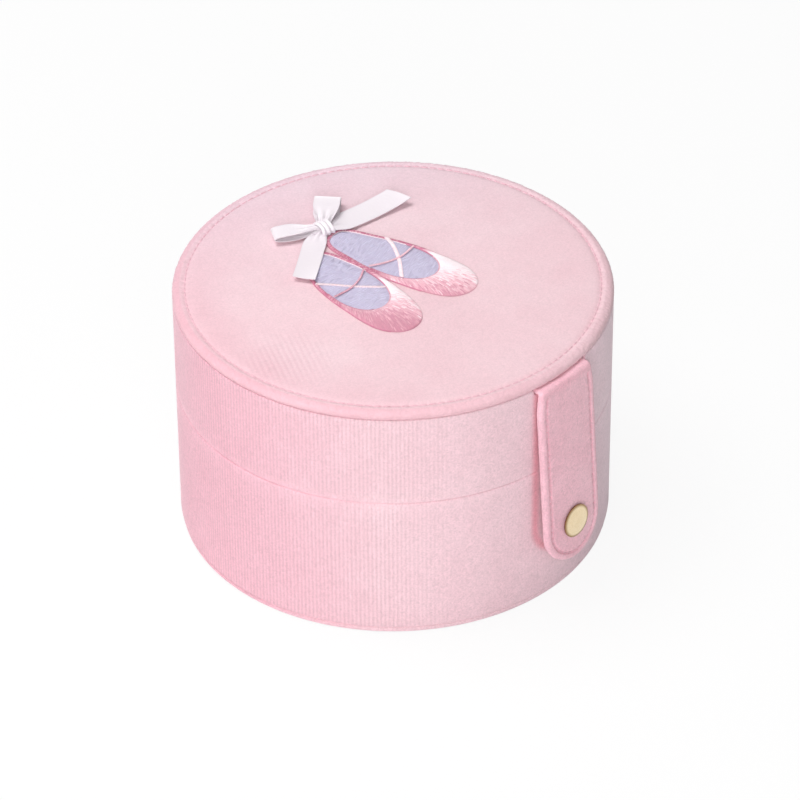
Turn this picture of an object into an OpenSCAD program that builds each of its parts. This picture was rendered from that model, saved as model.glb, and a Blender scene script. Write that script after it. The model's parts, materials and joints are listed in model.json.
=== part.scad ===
// Round velvet jewellery case with a hinged lid, a snap strap and a lift-out tray.
// Origin at the centre of the underside, +Z up, strap at the front on -Y, hinge at the back on +Y.

/* [Case] */
// Outside diameter over the velvet
case_d = 150; // [125:1:180]
// Height to the top of the lid disc
case_h = 93; // [77.5:0.5:112]
// Height of the line where the lid meets the base
seam_h = 55.4; // [52:0.1:67]
// Gap between the two rims when the case is shut
seam_gap = 0.3; // [0.2:0.1:1]

/* [Walls and coverings] */
// Thickness of the velvet on the walls
velvet_t = 1.2; // [0.8:0.1:2]
// Thickness of the greyboard in the walls
board_t = 2.2; // [1.6:0.1:3]
// Thickness of the suede lining
lining_t = 1.2; // [0.8:0.1:2]
// Depth of velvet turned over each rim to the inside
turn_in = 6; // [4:0.5:8]
// Glue line between two layers
glue = 0.1; // [0.05:0.05:0.2]

/* [Lid disc] */
// Thickness of the padded disc on top of the lid
disc_t = 3.2; // [2.6:0.1:5]
// Thickness of the velvet round the disc
disc_cover_t = 0.7; // [0.5:0.1:0.9]
// Thickness of the board in the disc
disc_board_t = 0.8; // [0.5:0.1:1.2]
// Width of velvet turned under the disc
disc_hem = 12; // [8:1:20]

/* [Foot disc] */
// Thickness of the disc that the case stands on
foot_t = 2.4; // [2:0.1:4]
// Thickness of the velvet round the foot disc
foot_cover_t = 0.6; // [0.4:0.1:0.7]
// How far the foot disc is set in from the wall
foot_inset = 0.4; // [0:0.1:1]

/* [Inside boards] */
// Thickness of the board that closes the top of the lid and the bottom of the base
panel_t = 2; // [1.5:0.1:3]
// Thickness of the suede under the top of the lid
headliner_t = 1; // [0.6:0.1:1.5]
// Thickness of the padded suede floor of the base
floor_pad_t = 1.5; // [1:0.1:2.5]

/* [Mirror] */
// Diameter of the mirror glass
mirror_d = 100; // [60:1:102]
// Thickness of the mirror glass
mirror_t = 2; // [1.5:0.1:3]
// Width of the frame outside the glass
frame_w = 5; // [3:0.5:6]
// How far the frame laps over the edge of the glass
frame_lap = 1.5; // [1:0.1:3]
// Thickness of the frame's lip over the glass
frame_lip = 0.8; // [0.5:0.1:1.5]

/* [Hinge] */
// Width of the velvet hinge patch at the back
patch_w = 44; // [30:1:60]
// Height of each leaf of the patch, above or below the seam
patch_leaf_h = 18; // [12:1:24]
// Thickness of the patch
patch_t = 1; // [0.6:0.1:1.5]
// Corner radius of the patch
patch_corner = 5; // [2:0.5:8]
// Width of the suede strip inside the hinge
hinge_strip_w = 40; // [24:1:56]
// Height of each half of the inner strip
hinge_strip_h = 13; // [8:0.5:16]
// Thickness of the inner strip
hinge_strip_t = 0.8; // [0.5:0.1:1.2]

/* [Strap] */
// Width of the strap
strap_w = 27.5; // [20:0.5:34]
// Length of the strap from its bend to its round end
strap_len = 71; // [66:0.5:80]
// Thickness of the strap through its three layers
strap_t = 2.8; // [2.2:0.1:3.6]
// Thickness of the velvet on each side of the strap
strap_skin_t = 0.9; // [0.6:0.1:1]
// Radius that the strap is bowed to across its width
strap_bow_r = 110; // [80:5:200]
// Gap between the wall and the strap where it bends down
strap_off = 0.4; // [0.3:0.1:1]
// How far the stiffener stays inside the strap's edge
stiffener_inset = 2; // [1:0.5:4]
// Width of the tongue that is glued in under the lid disc
tongue_w = 25; // [18:0.5:30]
// Length of the tongue inside the wall
tongue_reach = 13; // [8:0.5:20]
// Thickness of the tongue
tongue_t = 1.6; // [1:0.1:1.8]

/* [Snap] */
// Diameter of the snap's cap
cap_d = 12; // [10:0.5:15]
// Height of the cap's dome
cap_h = 1.1; // [0.8:0.1:1.6]
// Distance from the strap's end to the middle of the cap
cap_inset = 15; // [12:0.5:20]
// Radius of the rivet posts
post_r = 1.3; // [1:0.1:1.5]
// Outside diameter of the socket
socket_d = 10.8; // [9:0.1:12]
// Depth of the socket
socket_h = 2.8; // [2.5:0.1:3.5]
// Diameter of the flange of the stud and of its backing washer
flange_d = 10; // [8:0.1:11]
// Thickness of those flanges
flange_t = 0.7; // [0.5:0.1:0.9]
// Radius of the stud's head
stud_r = 2.1; // [1.9:0.1:2.5]
// Radius of the spring's wire
spring_wire_r = 0.25; // [0.2:0.05:0.3]

/* [Base compartments] */
// Height of the ring that carries the tray, above the floor board
ledge_h = 25.4; // [20:0.1:28]
// Width of that ring
ledge_w = 3; // [2:0.1:4]
// Thickness of every divider
divider_t = 2; // [1.5:0.1:3]
// Height of the dividers in the base
divider_h = 22; // [15:0.5:22]

/* [Tray] */
// Height of the tray
tray_h = 22; // [16:0.5:24]
// Thickness of the tray's wall
tray_wall_t = 2.2; // [1.6:0.1:3]
// Thickness of the tray's floor
tray_floor_t = 2; // [1.5:0.1:3]
// Gap between the tray and the base lining, all round
tray_gap = 1.5; // [1.3:0.1:2.5]
// How far the tray's dividers stay below its rim
tray_divider_drop = 3; // [1:0.5:6]
// Distance from the middle of the tray to its long divider
tray_split_y = 6; // [0:0.5:14]
// Distance between the tray's two short dividers
tray_bay_w = 44; // [30:1:60]
// Width of a ring roll
roll_w = 9.6; // [8:0.1:12]
// Height of a ring roll
roll_h = 12; // [10:0.5:14]
// Gap between ring rolls, where a ring is pushed in
roll_gap = 0.4; // [0.3:0.1:1]
// Shortest half length that a ring roll may have
roll_min_half = 20; // [10:1:30]
// Width of a pull tab
tab_w = 10; // [6:0.5:14]
// Height of a pull tab above the tray's rim
tab_rise = 5; // [3:0.5:8]
// Thickness of a pull tab's folded ribbon
tab_t = 0.8; // [0.5:0.1:1.2]
// Gap between a pull tab and the long divider behind it
tab_gap = 1; // [0.5:0.5:3]

/* [Slippers] */
// Height of the embroidery above the velvet
stitch_h = 0.5; // [0.3:0.1:1]
// Distance from the middle of a slipper's heel to the middle of its toe
slipper_len = 45; // [30:1:50]
// Radius of a slipper at the heel
slipper_heel_r = 6.4; // [5:0.1:8]
// Radius of a slipper across the ball of the foot
slipper_ball_r = 10.3; // [8:0.1:11]
// Radius of a slipper at the toe
slipper_toe_r = 7.2; // [5:0.1:9]
// Width of the edge that is left round the insole
slipper_edge = 1.3; // [0.8:0.1:2]
// Angle that each slipper turns out by
slipper_splay = 8; // [0:1:15]
// Width of the crossed lacing
lace_w = 1.7; // [1:0.1:3]

/* [Bow] */
// Width of the satin ribbon
ribbon_w = 10; // [6:0.5:12]
// Thickness of the ribbon
ribbon_t = 0.5; // [0.3:0.1:0.8]
// Length of the longer loop
loop_len = 21; // [14:0.5:26]
// Height of the loops
loop_h = 4; // [3:0.5:6]
// Length of the longer tail
tail_len = 34; // [20:1:40]
// Width of the knot
knot_w = 7; // [5:0.5:9]

/* [Hidden] */
$fn = 96;
// Smallest gap kept between pieces of different bodies
clear = 0.3;
// Gap round a post in its hole, and between a soft piece and what carries it
fit = 0.2;
// What a cutter reaches past the face that it cuts
past = 1;
// Share of half a thickness that a rounded edge is rounded by
full_round = 0.98;

// Radii of the wall's layers, from the outside in
case_r = case_d / 2;
board_r = case_r - velvet_t - glue;
board_in_r = board_r - board_t;
lining_r = board_in_r - glue;
inside_r = lining_r - lining_t;

// Heights in the base
base_rim_z = seam_h - seam_gap / 2;
base_wall_z = foot_t + glue;
base_wall_h = base_rim_z - base_wall_z;
floor_z = base_wall_z + panel_t + glue;
pad_top_z = floor_z + floor_pad_t;
ledge_r = inside_r - glue;
ledge_in_r = ledge_r - ledge_w;
ledge_top_z = floor_z + ledge_h;

// Heights in the lid
lid_rim_z = seam_h + seam_gap / 2;
disc_z = case_h - disc_t;
lid_wall_top_z = disc_z - glue;
lid_wall_h = lid_wall_top_z - lid_rim_z;
ceiling_z = lid_wall_top_z - panel_t;
headliner_z = ceiling_z - glue - headliner_t;
mirror_z = headliner_z - glue - mirror_t;

// Tray
tray_r = inside_r - tray_gap;
tray_in_r = tray_r - tray_wall_t;
tray_z = ledge_top_z + clear;
tray_top_z = tray_z + tray_h;
tray_floor_top_z = tray_z + tray_floor_t;
tray_divider_h = tray_top_z - tray_divider_drop - tray_floor_top_z - glue;
roll_start_y = tray_split_y + divider_t / 2 + fit;
roll_pitch = roll_w + roll_gap;
roll_end_y = sqrt(pow(tray_in_r - fit, 2) - pow(roll_min_half, 2));
roll_count = floor((roll_end_y - roll_start_y) / roll_pitch);

// Strap and snap, with the strap's own origin on its bend axis
strap_half_t = strap_t / 2;
bend_y = -(case_r + strap_off + strap_half_t);
bend_z = disc_z - 2 * glue - strap_half_t;
cap_drop = strap_len - cap_inset;
socket_seat = 0.2;
stud_seat = 0.1;
stud_waist = 0.35;
snap_gap = 0.55;
snap_stack = stud_seat + flange_t + snap_gap + socket_h + socket_seat;
strap_lean = asin((snap_stack - strap_off) / cap_drop);
socket_plate_t = 0.6;
socket_edge_r = 0.4;
socket_lip_t = 0.8;
post_upset = 0.4;
post_end = socket_seat + socket_plate_t + post_upset;
socket_bore_r = stud_r + 0.5;
stud_top = post_end + clear;
stud_h = snap_stack - stud_seat - stud_top;
stud_mid = (stud_top + socket_seat + socket_h) / 2;
rivet_head_t = flange_t - glue;
rivet_y = sqrt(pow(board_in_r, 2) - pow(flange_d / 2, 2)) - glue - rivet_head_t;
stud_z = bend_z - (strap_half_t + stud_mid) * sin(strap_lean) - cap_drop * cos(strap_lean);

// Ornament on the lid
lace_z = case_h + glue + stitch_h + glue / 2;
bow_z = case_h + glue + stitch_h + clear;
knot_pos = [5.4, 37];
// Middle and turn of each slipper
slipper_places = [[10.2, 6, slipper_splay], [-12.1, 6.4, -slipper_splay]];
// Direction and length of each loop and each tail
bow_loop_places = [[34, loop_len], [143, loop_len - 2]];
bow_tail_places = [[-7, tail_len], [206, tail_len - 7]];
// Where the ribbons start, clear of the knot, and the loops clear of each other too
tail_start = knot_w / 2 + fit;
loop_spread = bow_loop_places[1][0] - bow_loop_places[0][0];
loop_start = max(knot_w, ribbon_w / tan(loop_spread / 2)) / 2 + fit;

velvet_pink = [0.95, 0.78, 0.81];
suede_pink = [0.96, 0.86, 0.87];
board_grey = [0.62, 0.60, 0.57];
satin_white = [0.98, 0.96, 0.96];
brass = [0.83, 0.72, 0.50];
silver_blue = [0.85, 0.88, 0.90];
foam_cream = [0.97, 0.94, 0.86];
thread_lavender = [0.80, 0.83, 0.92];
thread_rose = [0.93, 0.66, 0.72];

// ---- Shapes that several pieces share ----

// Ring between two radii, standing on z
module ring(outer_r, inner_r, z, h) {
    translate([0, 0, z])
        rotate_extrude()
            translate([inner_r, 0])
                square([outer_r - inner_r, h]);
}

// Disc standing on z
module disc(r, z, h) {
    translate([0, 0, z])
        cylinder(r = r, h = h);
}

// Half of a disc's section, with its rim fully rounded
module round_rim_half(r, h) {
    square([r - h / 2, h]);
    translate([r - h / 2, h / 2])
        circle(r = h / 2);
}

// Rectangle on the origin with its two upper corners rounded
module round_top(w, h, r) {
    square([w, h - r]);
    translate([r, 0])
        square([w - 2 * r, h]);
    translate([r, h - r])
        circle(r = r);
    translate([w - r, h - r])
        circle(r = r);
}

// Cloth wrapped round a disc, turned in over a hem on the face that points down
module wrapped_disc(r, h, cloth_t, hem) {
    rotate_extrude()
        difference() {
            round_rim_half(r, h);
            translate([0, cloth_t])
                round_rim_half(r - cloth_t, h - 2 * cloth_t);
            translate([0, -past])
                square([r - hem, past + cloth_t * 1.5]);
        }
}

// Velvet on a wall that stands on z = 0: up the outside, over the rim and down the inside
module wall_covering(h) {
    inner_r = lining_r - velvet_t;
    difference() {
        rotate_extrude()
            translate([inner_r, 0])
                round_top(case_r - inner_r, h, velvet_t);
        ring(board_r + glue, lining_r, -past, h - velvet_t + past);
        ring(lining_r, inner_r - past, -past, h - turn_in + past);
    }
}

// Divider along X: a board with a rounded top edge, standing on z = 0
module divider_board(len, h) {
    translate([-len / 2, -divider_t / 2, 0])
        rotate([90, 0, 90])
            linear_extrude(height = len)
                round_top(divider_t, h, divider_t / 2 * full_round);
}

// Patch at the back of a ring: its lower corners are rounded and its top lies at z
module back_patch(outer_r, inner_r, w, h, corner, z) {
    intersection() {
        ring(outer_r, inner_r, z - h, h);
        translate([w / 2, 0, z])
            rotate([-90, 0, 0])
                rotate([0, 0, 180])
                    mirror([0, 1, 0])
                        linear_extrude(height = outer_r + past)
                            round_top(w, h, corner);
    }
}

// Lower leaf of the velvet patch outside the hinge
module hinge_leaf() {
    inner_r = case_r + glue;
    back_patch(inner_r + patch_t, inner_r, patch_w, patch_leaf_h, patch_corner, base_rim_z);
}

// Lower half of the suede strip inside the hinge, clear of the lining and of the velvet's turn-in
module hinge_strip_half() {
    outer_r = lining_r - max(velvet_t, lining_t) - glue;
    inner_r = outer_r - hinge_strip_t;
    back_patch(outer_r, inner_r, hinge_strip_w, hinge_strip_h, patch_corner / 2, base_rim_z);
}

// Puts children on the lid as their mirror image in the seam
module above_seam() {
    translate([0, 0, 2 * seam_h])
        mirror([0, 0, 1])
            children();
}

// Hole along Y at the height of the stud, through everything at the front
module stud_hole(r, from_r, to_r) {
    translate([0, -to_r, stud_z])
        rotate([90, 0, 0])
            cylinder(r = r, h = from_r - to_r);
}

// ---- Base ----

module foot_cover() {
    color(velvet_pink)
        translate([0, 0, foot_t])
            mirror([0, 0, 1])
                wrapped_disc(case_r - foot_inset, foot_t, foot_cover_t, disc_hem);
}

module foot_board() {
    foot_board_z = foot_cover_t + glue;
    color(board_grey)
        disc(case_r - foot_inset - foot_t / 2 - glue, foot_board_z, foot_t - 2 * foot_board_z);
}

module base_floor_board() {
    color(board_grey)
        disc(lining_r, base_wall_z, panel_t);
}

module base_wall_board() {
    color(board_grey)
        difference() {
            ring(board_r, board_in_r, base_wall_z, base_wall_h - velvet_t - glue);
            stud_hole(post_r + fit, case_r + past, board_in_r - past);
        }
}

module base_wall_velvet() {
    color(velvet_pink)
        difference() {
            translate([0, 0, base_wall_z])
                wall_covering(base_wall_h);
            stud_hole(post_r + fit, case_r + past, board_r - past);
        }
}

// The liner is thinned where the rivet's head lies behind it
module base_liner() {
    color(suede_pink)
        difference() {
            ring(lining_r, inside_r, floor_z, base_rim_z - turn_in - glue - floor_z);
            stud_hole(flange_d / 2 + fit, case_r, rivet_y - glue);
        }
}

module base_floor_pad() {
    color(suede_pink)
        disc(ledge_in_r - fit, floor_z, floor_pad_t);
}

module tray_ledge() {
    color(suede_pink)
        ring(ledge_r, ledge_in_r, floor_z, ledge_h);
}

// The two base dividers are halved into each other where they cross
module base_divider_long() {
    color(suede_pink)
        translate([0, 0, pad_top_z + glue])
            difference() {
                intersection() {
                    divider_board(2 * ledge_in_r, divider_h);
                    cylinder(r = ledge_in_r - fit, h = divider_h);
                }
                translate([-divider_t / 2 - fit, -divider_t, divider_h / 2])
                    cube([divider_t + 2 * fit, 2 * divider_t, divider_h]);
            }
}

module base_divider_short() {
    color(suede_pink)
        translate([0, 0, pad_top_z + glue])
            difference() {
                intersection() {
                    rotate([0, 0, 90])
                        divider_board(2 * ledge_in_r, divider_h);
                    cylinder(r = ledge_in_r - fit, h = divider_h);
                }
                translate([-divider_t, -divider_t / 2 - fit, -past])
                    cube([2 * divider_t, divider_t + 2 * fit, divider_h / 2 + past + fit]);
            }
}

// Revolved about Y at the front: flange on the wall, then a waist and a rounded head
module snap_stud() {
    waist_r = stud_r - stud_waist;
    color(brass)
        translate([0, -(case_r + stud_seat), stud_z])
            rotate([90, 0, 0])
                difference() {
                    union() {
                        cylinder(r = flange_d / 2, h = flange_t);
                        cylinder(r = waist_r, h = stud_h - stud_r / 2);
                        translate([0, 0, stud_h - stud_r / 2 - 0.2])
                            rotate_extrude()
                                intersection() {
                                    circle(r = stud_r);
                                    translate([0, -stud_r / 3])
                                        square([stud_r, stud_r / 3 + stud_r / 2 + 0.2]);
                                }
                    }
                    translate([0, 0, -past])
                        cylinder(r = post_r + glue, h = past + flange_t + 0.5);
                }
}

// Rivet from inside the wall into the stud, with its head behind the lining
module stud_rivet() {
    color(brass)
        translate([0, -rivet_y, stud_z])
            rotate([90, 0, 0]) {
                cylinder(r = flange_d / 2, h = rivet_head_t);
                cylinder(r = post_r, h = case_r + stud_seat + flange_t - rivet_y);
            }
}

module hinge_patch_base() {
    color(velvet_pink)
        hinge_leaf();
}

module hinge_strip_base() {
    color(suede_pink)
        hinge_strip_half();
}

// ---- Lift-out tray ----

module tray_floor() {
    color(suede_pink)
        disc(tray_in_r - glue, tray_z, tray_floor_t);
}

module tray_wall() {
    color(suede_pink)
        translate([0, 0, tray_z])
            rotate_extrude()
                translate([tray_in_r, 0])
                    round_top(tray_wall_t, tray_h, tray_wall_t / 2 * full_round);
}

module tray_divider_long() {
    color(suede_pink)
        intersection() {
            translate([0, tray_split_y, tray_floor_top_z + glue])
                divider_board(2 * tray_in_r, tray_divider_h);
            disc(tray_in_r - fit, tray_z, tray_h);
        }
}

module tray_dividers_short() {
    middle_y = tray_split_y - divider_t / 2 - fit - tray_in_r;
    color(suede_pink)
        for (side = [-1, 1])
            intersection() {
                translate([side * tray_bay_w / 2, middle_y, tray_floor_top_z + glue])
                    rotate([0, 0, 90])
                        divider_board(2 * tray_in_r, tray_divider_h);
                disc(tray_in_r - fit, tray_z, tray_h);
            }
}

// Padded rolls with round tops, each cut to the curve of the tray
module ring_rolls() {
    color(suede_pink)
        for (i = [0 : roll_count - 1])
            intersection() {
                translate([-tray_in_r, roll_start_y + i * roll_pitch, tray_floor_top_z + glue])
                    rotate([90, 0, 90])
                        linear_extrude(height = 2 * tray_in_r)
                            round_top(roll_w, roll_h, roll_w / 2 * full_round);
                disc(tray_in_r - fit, tray_z, tray_h);
            }
}

// Folded ribbons that stand up inside the tray's wall, left and right, in front of the long divider
module tray_pull_tabs() {
    reach = sqrt(pow(tray_in_r - fit, 2) - pow(tab_w / 2, 2));
    tab_y = min(0, tray_split_y - divider_t / 2 - tab_gap - tab_w / 2);
    tab_h = tray_top_z + tab_rise - tray_floor_top_z - glue;
    color(satin_white)
        for (side = [-1, 1])
            rotate([0, 0, side * acos(tab_y / reach)])
                translate([-tab_w / 2, reach - tab_t, tray_floor_top_z + glue])
                    cube([tab_w, tab_t, tab_h]);
}

// ---- Lid ----

// Room for the strap's tongue in the top of the wall
module tongue_slot() {
    translate([-tongue_w / 2 - fit, -case_r - past, lid_wall_top_z - tongue_t - fit])
        cube([tongue_w + 2 * fit, tongue_reach + past + fit, tongue_t + fit + past]);
}

module lid_wall_board() {
    color(board_grey)
        difference() {
            ring(board_r, board_in_r, lid_rim_z + velvet_t + glue, lid_wall_h - velvet_t - glue);
            tongue_slot();
        }
}

module lid_wall_velvet() {
    color(velvet_pink)
        difference() {
            translate([0, 0, lid_wall_top_z])
                mirror([0, 0, 1])
                    wall_covering(lid_wall_h);
            tongue_slot();
        }
}

module lid_ceiling_board() {
    color(board_grey)
        difference() {
            disc(lining_r, ceiling_z, panel_t);
            tongue_slot();
        }
}

module lid_liner() {
    low_z = lid_rim_z + turn_in + glue;
    color(suede_pink)
        ring(lining_r, inside_r, low_z, headliner_z - glue - low_z);
}

module lid_headliner() {
    color(suede_pink)
        disc(lining_r, headliner_z, headliner_t);
}

module mirror_glass() {
    color(silver_blue)
        disc(mirror_d / 2, mirror_z, mirror_t);
}

module mirror_frame() {
    outer_r = mirror_d / 2 + frame_w;
    frame_z = mirror_z - glue - frame_lip;
    frame_h = headliner_z - glue - frame_z;
    color(suede_pink)
        difference() {
            translate([0, 0, frame_z + frame_h])
                mirror([0, 0, 1])
                    rotate_extrude()
                        translate([mirror_d / 2 - frame_lap, 0])
                            round_top(frame_w + frame_lap, frame_h, frame_lip / 2);
            disc(mirror_d / 2 + glue, mirror_z - glue, frame_h);
        }
}

module lid_disc_cover() {
    color(velvet_pink)
        translate([0, 0, disc_z])
            wrapped_disc(case_r, disc_t, disc_cover_t, disc_hem);
}

module lid_disc_board() {
    color(board_grey)
        disc(case_r - disc_t / 2 - glue, disc_z + disc_cover_t + glue, disc_board_t);
}

module lid_disc_foam() {
    foam_z = disc_z + disc_cover_t + glue + disc_board_t + glue;
    color(foam_cream)
        disc(case_r - disc_t / 2 - glue, foam_z, case_h - disc_cover_t - glue - foam_z);
}

module hinge_patch_lid() {
    color(velvet_pink)
        above_seam()
            hinge_leaf();
}

module hinge_strip_lid() {
    color(suede_pink)
        above_seam()
            hinge_strip_half();
}

// Inner end of the strap, glued in under the disc and ending at the bend
module strap_tongue() {
    color(velvet_pink)
        intersection() {
            translate([-tongue_w / 2, -case_r - strap_off, lid_wall_top_z - tongue_t])
                cube([tongue_w, tongue_reach + strap_off, tongue_t]);
            translate([0, bend_y + strap_half_t + strap_bow_r, 0])
                cylinder(r = strap_bow_r - clear, h = case_h);
        }
}

// ---- Embroidered slippers ----

// Sole of one slipper, its heel up and its toe down the page
module slipper_sole(inset) {
    hull() {
        translate([0, slipper_len / 2])
            circle(r = slipper_heel_r - inset, $fn = 32);
        translate([0, -slipper_len * 0.22])
            circle(r = slipper_ball_r - inset, $fn = 32);
        translate([0, -slipper_len / 2])
            circle(r = slipper_toe_r - inset, $fn = 32);
    }
}

// Opening of one slipper, from the heel to the throat over the toes
module slipper_opening() {
    hull() {
        translate([0, slipper_len / 2])
            circle(r = slipper_heel_r - slipper_edge, $fn = 32);
        translate([0, -slipper_len * 0.12])
            circle(r = slipper_ball_r - slipper_edge * 1.6, $fn = 32);
    }
}

module each_slipper(z) {
    for (place = slipper_places)
        translate([place[0], place[1], z])
            rotate([0, 0, place[2]])
                children();
}

module slipper_insoles() {
    color(thread_lavender)
        each_slipper(case_h + glue)
            linear_extrude(height = stitch_h - glue)
                offset(delta = -fit)
                    slipper_opening();
}

module slipper_uppers() {
    color(thread_rose)
        each_slipper(case_h + glue)
            linear_extrude(height = stitch_h)
                difference() {
                    slipper_sole(0);
                    slipper_opening();
                }
}

// Two crossed laces over each opening
module slipper_lacing() {
    lace_len = 2 * (slipper_ball_r - slipper_edge);
    color(satin_white)
        each_slipper(lace_z)
            linear_extrude(height = stitch_h / 2)
                union() {
                    for (turn = [-28, 28])
                        translate([0, slipper_len * 0.1])
                            rotate([0, 0, turn])
                                square([lace_len, lace_w], center = true);
                }
}

// ---- Ribbon bow ----

module bow_tails() {
    color(satin_white)
        for (place = bow_tail_places)
            translate([knot_pos[0], knot_pos[1], bow_z])
                rotate([0, 0, place[0]])
                    linear_extrude(height = ribbon_t)
                        polygon([
                            [tail_start, -ribbon_w / 2],
                            [place[1], -ribbon_w / 2],
                            [place[1] - ribbon_w / 3, ribbon_w / 2],
                            [tail_start, ribbon_w / 2]
                        ]);
}

// Side view of a loop: a flat drop shape, narrow at the knot
module loop_side(len, inset) {
    hull() {
        translate([len - loop_h / 2, loop_h / 2])
            circle(r = loop_h / 2 - inset, $fn = 32);
        translate([loop_start + loop_h / 4, loop_h / 2])
            circle(r = loop_h / 4 - inset, $fn = 32);
    }
}

module bow_loops() {
    color(satin_white)
        for (place = bow_loop_places)
            translate([knot_pos[0], knot_pos[1], bow_z + ribbon_t + clear])
                rotate([90, 0, place[0]])
                    linear_extrude(height = ribbon_w, center = true)
                        difference() {
                            loop_side(place[1], 0);
                            loop_side(place[1], ribbon_t);
                        }
}

module bow_knot() {
    knot_r = knot_w / 2;
    color(satin_white)
        translate([knot_pos[0], knot_pos[1], bow_z])
            intersection() {
                cylinder(r = knot_r, h = ribbon_t + clear + loop_h);
                translate([0, 0, knot_r * 0.3])
                    sphere(r = knot_r * 1.25);
            }
}

// ---- Strap ----

// Puts children from the strap's own frame onto the case
module on_strap() {
    translate([0, bend_y, bend_z])
        rotate([-strap_lean, 0, 0])
            children();
}

// Puts children on the snap's axis, +Z outward, z = 0 on the strap's inner face
module on_snap() {
    on_strap()
        translate([0, strap_half_t, -cap_drop])
            rotate([90, 0, 0])
                children();
}

// Flat outline of the strap, drawn in by inset, its top edge at top
module strap_outline(inset, top) {
    half_w = strap_w / 2 - inset;
    end_y = -(strap_len - strap_w / 2);
    translate([-half_w, end_y])
        square([2 * half_w, top - end_y]);
    translate([0, end_y])
        circle(r = half_w);
}

// Layer of the bowed strap between two depths, measured out from its inner face
module strap_layer(from_t, to_t, inset, top) {
    intersection() {
        translate([0, strap_half_t + strap_bow_r, -strap_len - past])
            ring(strap_bow_r + to_t, strap_bow_r + from_t, 0, strap_len + 2 * past);
        translate([0, strap_w / 2, 0])
            rotate([90, 0, 0])
                linear_extrude(height = strap_w)
                    strap_outline(inset, top);
    }
}

// Round upper end of the strap, on the bend axis
module strap_bead() {
    mid_r = strap_bow_r + strap_half_t;
    spread = asin(strap_w / 2 / mid_r);
    translate([0, mid_r, 0])
        rotate([0, 0, -90 - spread])
            rotate_extrude(angle = 2 * spread)
                translate([mid_r, 0])
                    circle(r = strap_half_t);
}

// Outer velvet, which also wraps the edges of the stiffener
module strap_face() {
    color(velvet_pink)
        difference() {
            on_strap()
                difference() {
                    union() {
                        strap_layer(strap_skin_t + glue, strap_t, 0, 0);
                        strap_bead();
                    }
                    strap_layer(strap_skin_t, strap_t - strap_skin_t, stiffener_inset - glue, glue - strap_t);
                }
            on_snap()
                translate([0, 0, -past])
                    cylinder(r = post_r + fit, h = strap_t + 2 * past);
        }
}

module strap_stiffener() {
    color(board_grey)
        difference() {
            on_strap()
                strap_layer(strap_skin_t + glue, strap_t - strap_skin_t - glue, stiffener_inset, -strap_t);
            on_snap()
                translate([0, 0, -past])
                    cylinder(r = post_r + fit, h = strap_t + 2 * past);
        }
}

module strap_lining() {
    color(velvet_pink)
        difference() {
            on_strap()
                strap_layer(0, strap_skin_t, 0, -strap_half_t - glue);
            on_snap()
                translate([0, 0, -past])
                    cylinder(r = post_r + fit, h = strap_t + 2 * past);
        }
}

// Domed cap with its rivet post through the strap
module snap_cap() {
    edge_t = cap_h / 3;
    dome_h = cap_h - edge_t;
    dome_r = (pow(cap_d / 2, 2) + pow(dome_h, 2)) / (2 * dome_h);
    color(brass)
        on_snap() {
            translate([0, 0, strap_t + glue]) {
                cylinder(r = cap_d / 2, h = edge_t);
                rotate_extrude()
                    translate([0, cap_h - dome_r])
                        intersection() {
                            circle(r = dome_r, $fn = 720);
                            translate([0, dome_r - cap_h + edge_t / 2])
                                square([cap_d / 2, cap_h - edge_t / 2]);
                        }
            }
            translate([0, 0, -post_end])
                cylinder(r = post_r, h = post_end + strap_t + glue * 2);
        }
}

// Socket on the strap's inner side, grooved for its spring
module snap_socket() {
    groove_r = socket_bore_r + 2 * spring_wire_r;
    color(brass)
        on_snap()
            mirror([0, 0, 1])
                translate([0, 0, socket_seat])
                    difference() {
                        rotate_extrude()
                            round_top(socket_d / 2, socket_h, socket_edge_r);
                        translate([0, 0, socket_plate_t])
                            cylinder(r = socket_bore_r, h = socket_h);
                        translate([0, 0, socket_h - socket_lip_t - 2 * spring_wire_r - fit])
                            cylinder(r = groove_r + fit, h = 2 * spring_wire_r + fit);
                        translate([0, 0, -past])
                            cylinder(r = post_r + fit, h = socket_h);
                    }
}

// Open ring of wire in the socket's groove, which grips the waist of the stud
module snap_spring() {
    ring_r = socket_bore_r + spring_wire_r;
    color(brass)
        on_snap()
            mirror([0, 0, 1])
                translate([0, 0, socket_seat + socket_h - socket_lip_t - spring_wire_r - fit / 2])
                    rotate([0, 0, 120])
                        rotate_extrude(angle = 300)
                            translate([ring_r, 0])
                                circle(r = spring_wire_r);
}

foot_cover();
foot_board();
base_floor_board();
base_wall_board();
base_wall_velvet();
base_liner();
base_floor_pad();
tray_ledge();
base_divider_long();
base_divider_short();
snap_stud();
stud_rivet();
hinge_patch_base();
hinge_strip_base();
tray_floor();
tray_wall();
tray_divider_long();
tray_dividers_short();
ring_rolls();
tray_pull_tabs();
lid_wall_board();
lid_wall_velvet();
lid_ceiling_board();
lid_liner();
lid_headliner();
mirror_glass();
mirror_frame();
lid_disc_board();
lid_disc_foam();
lid_disc_cover();
hinge_patch_lid();
hinge_strip_lid();
strap_tongue();
slipper_insoles();
slipper_uppers();
slipper_lacing();
bow_tails();
bow_loops();
bow_knot();
strap_face();
strap_stiffener();
strap_lining();
snap_cap();
snap_socket();
snap_spring();
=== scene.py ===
# %% [markdown]
# # A round velvet jewellery case
# The case is a greyboard tube covered in pink velvet. Its lid is hinged at the back with cloth and held shut
# by a strap with a brass press stud. The construction comes from the frame: every board, shell and metal
# part has its real size and place there. This script gives the soft parts their real form and every surface
# its finish. We work in metres, in the frame's own coordinates, with the strap on -Y and the hinge on +Y.

# %% Load the frame
import json
import math

import bpy
import numpy as np
from mathutils import Matrix, Vector, noise


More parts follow.
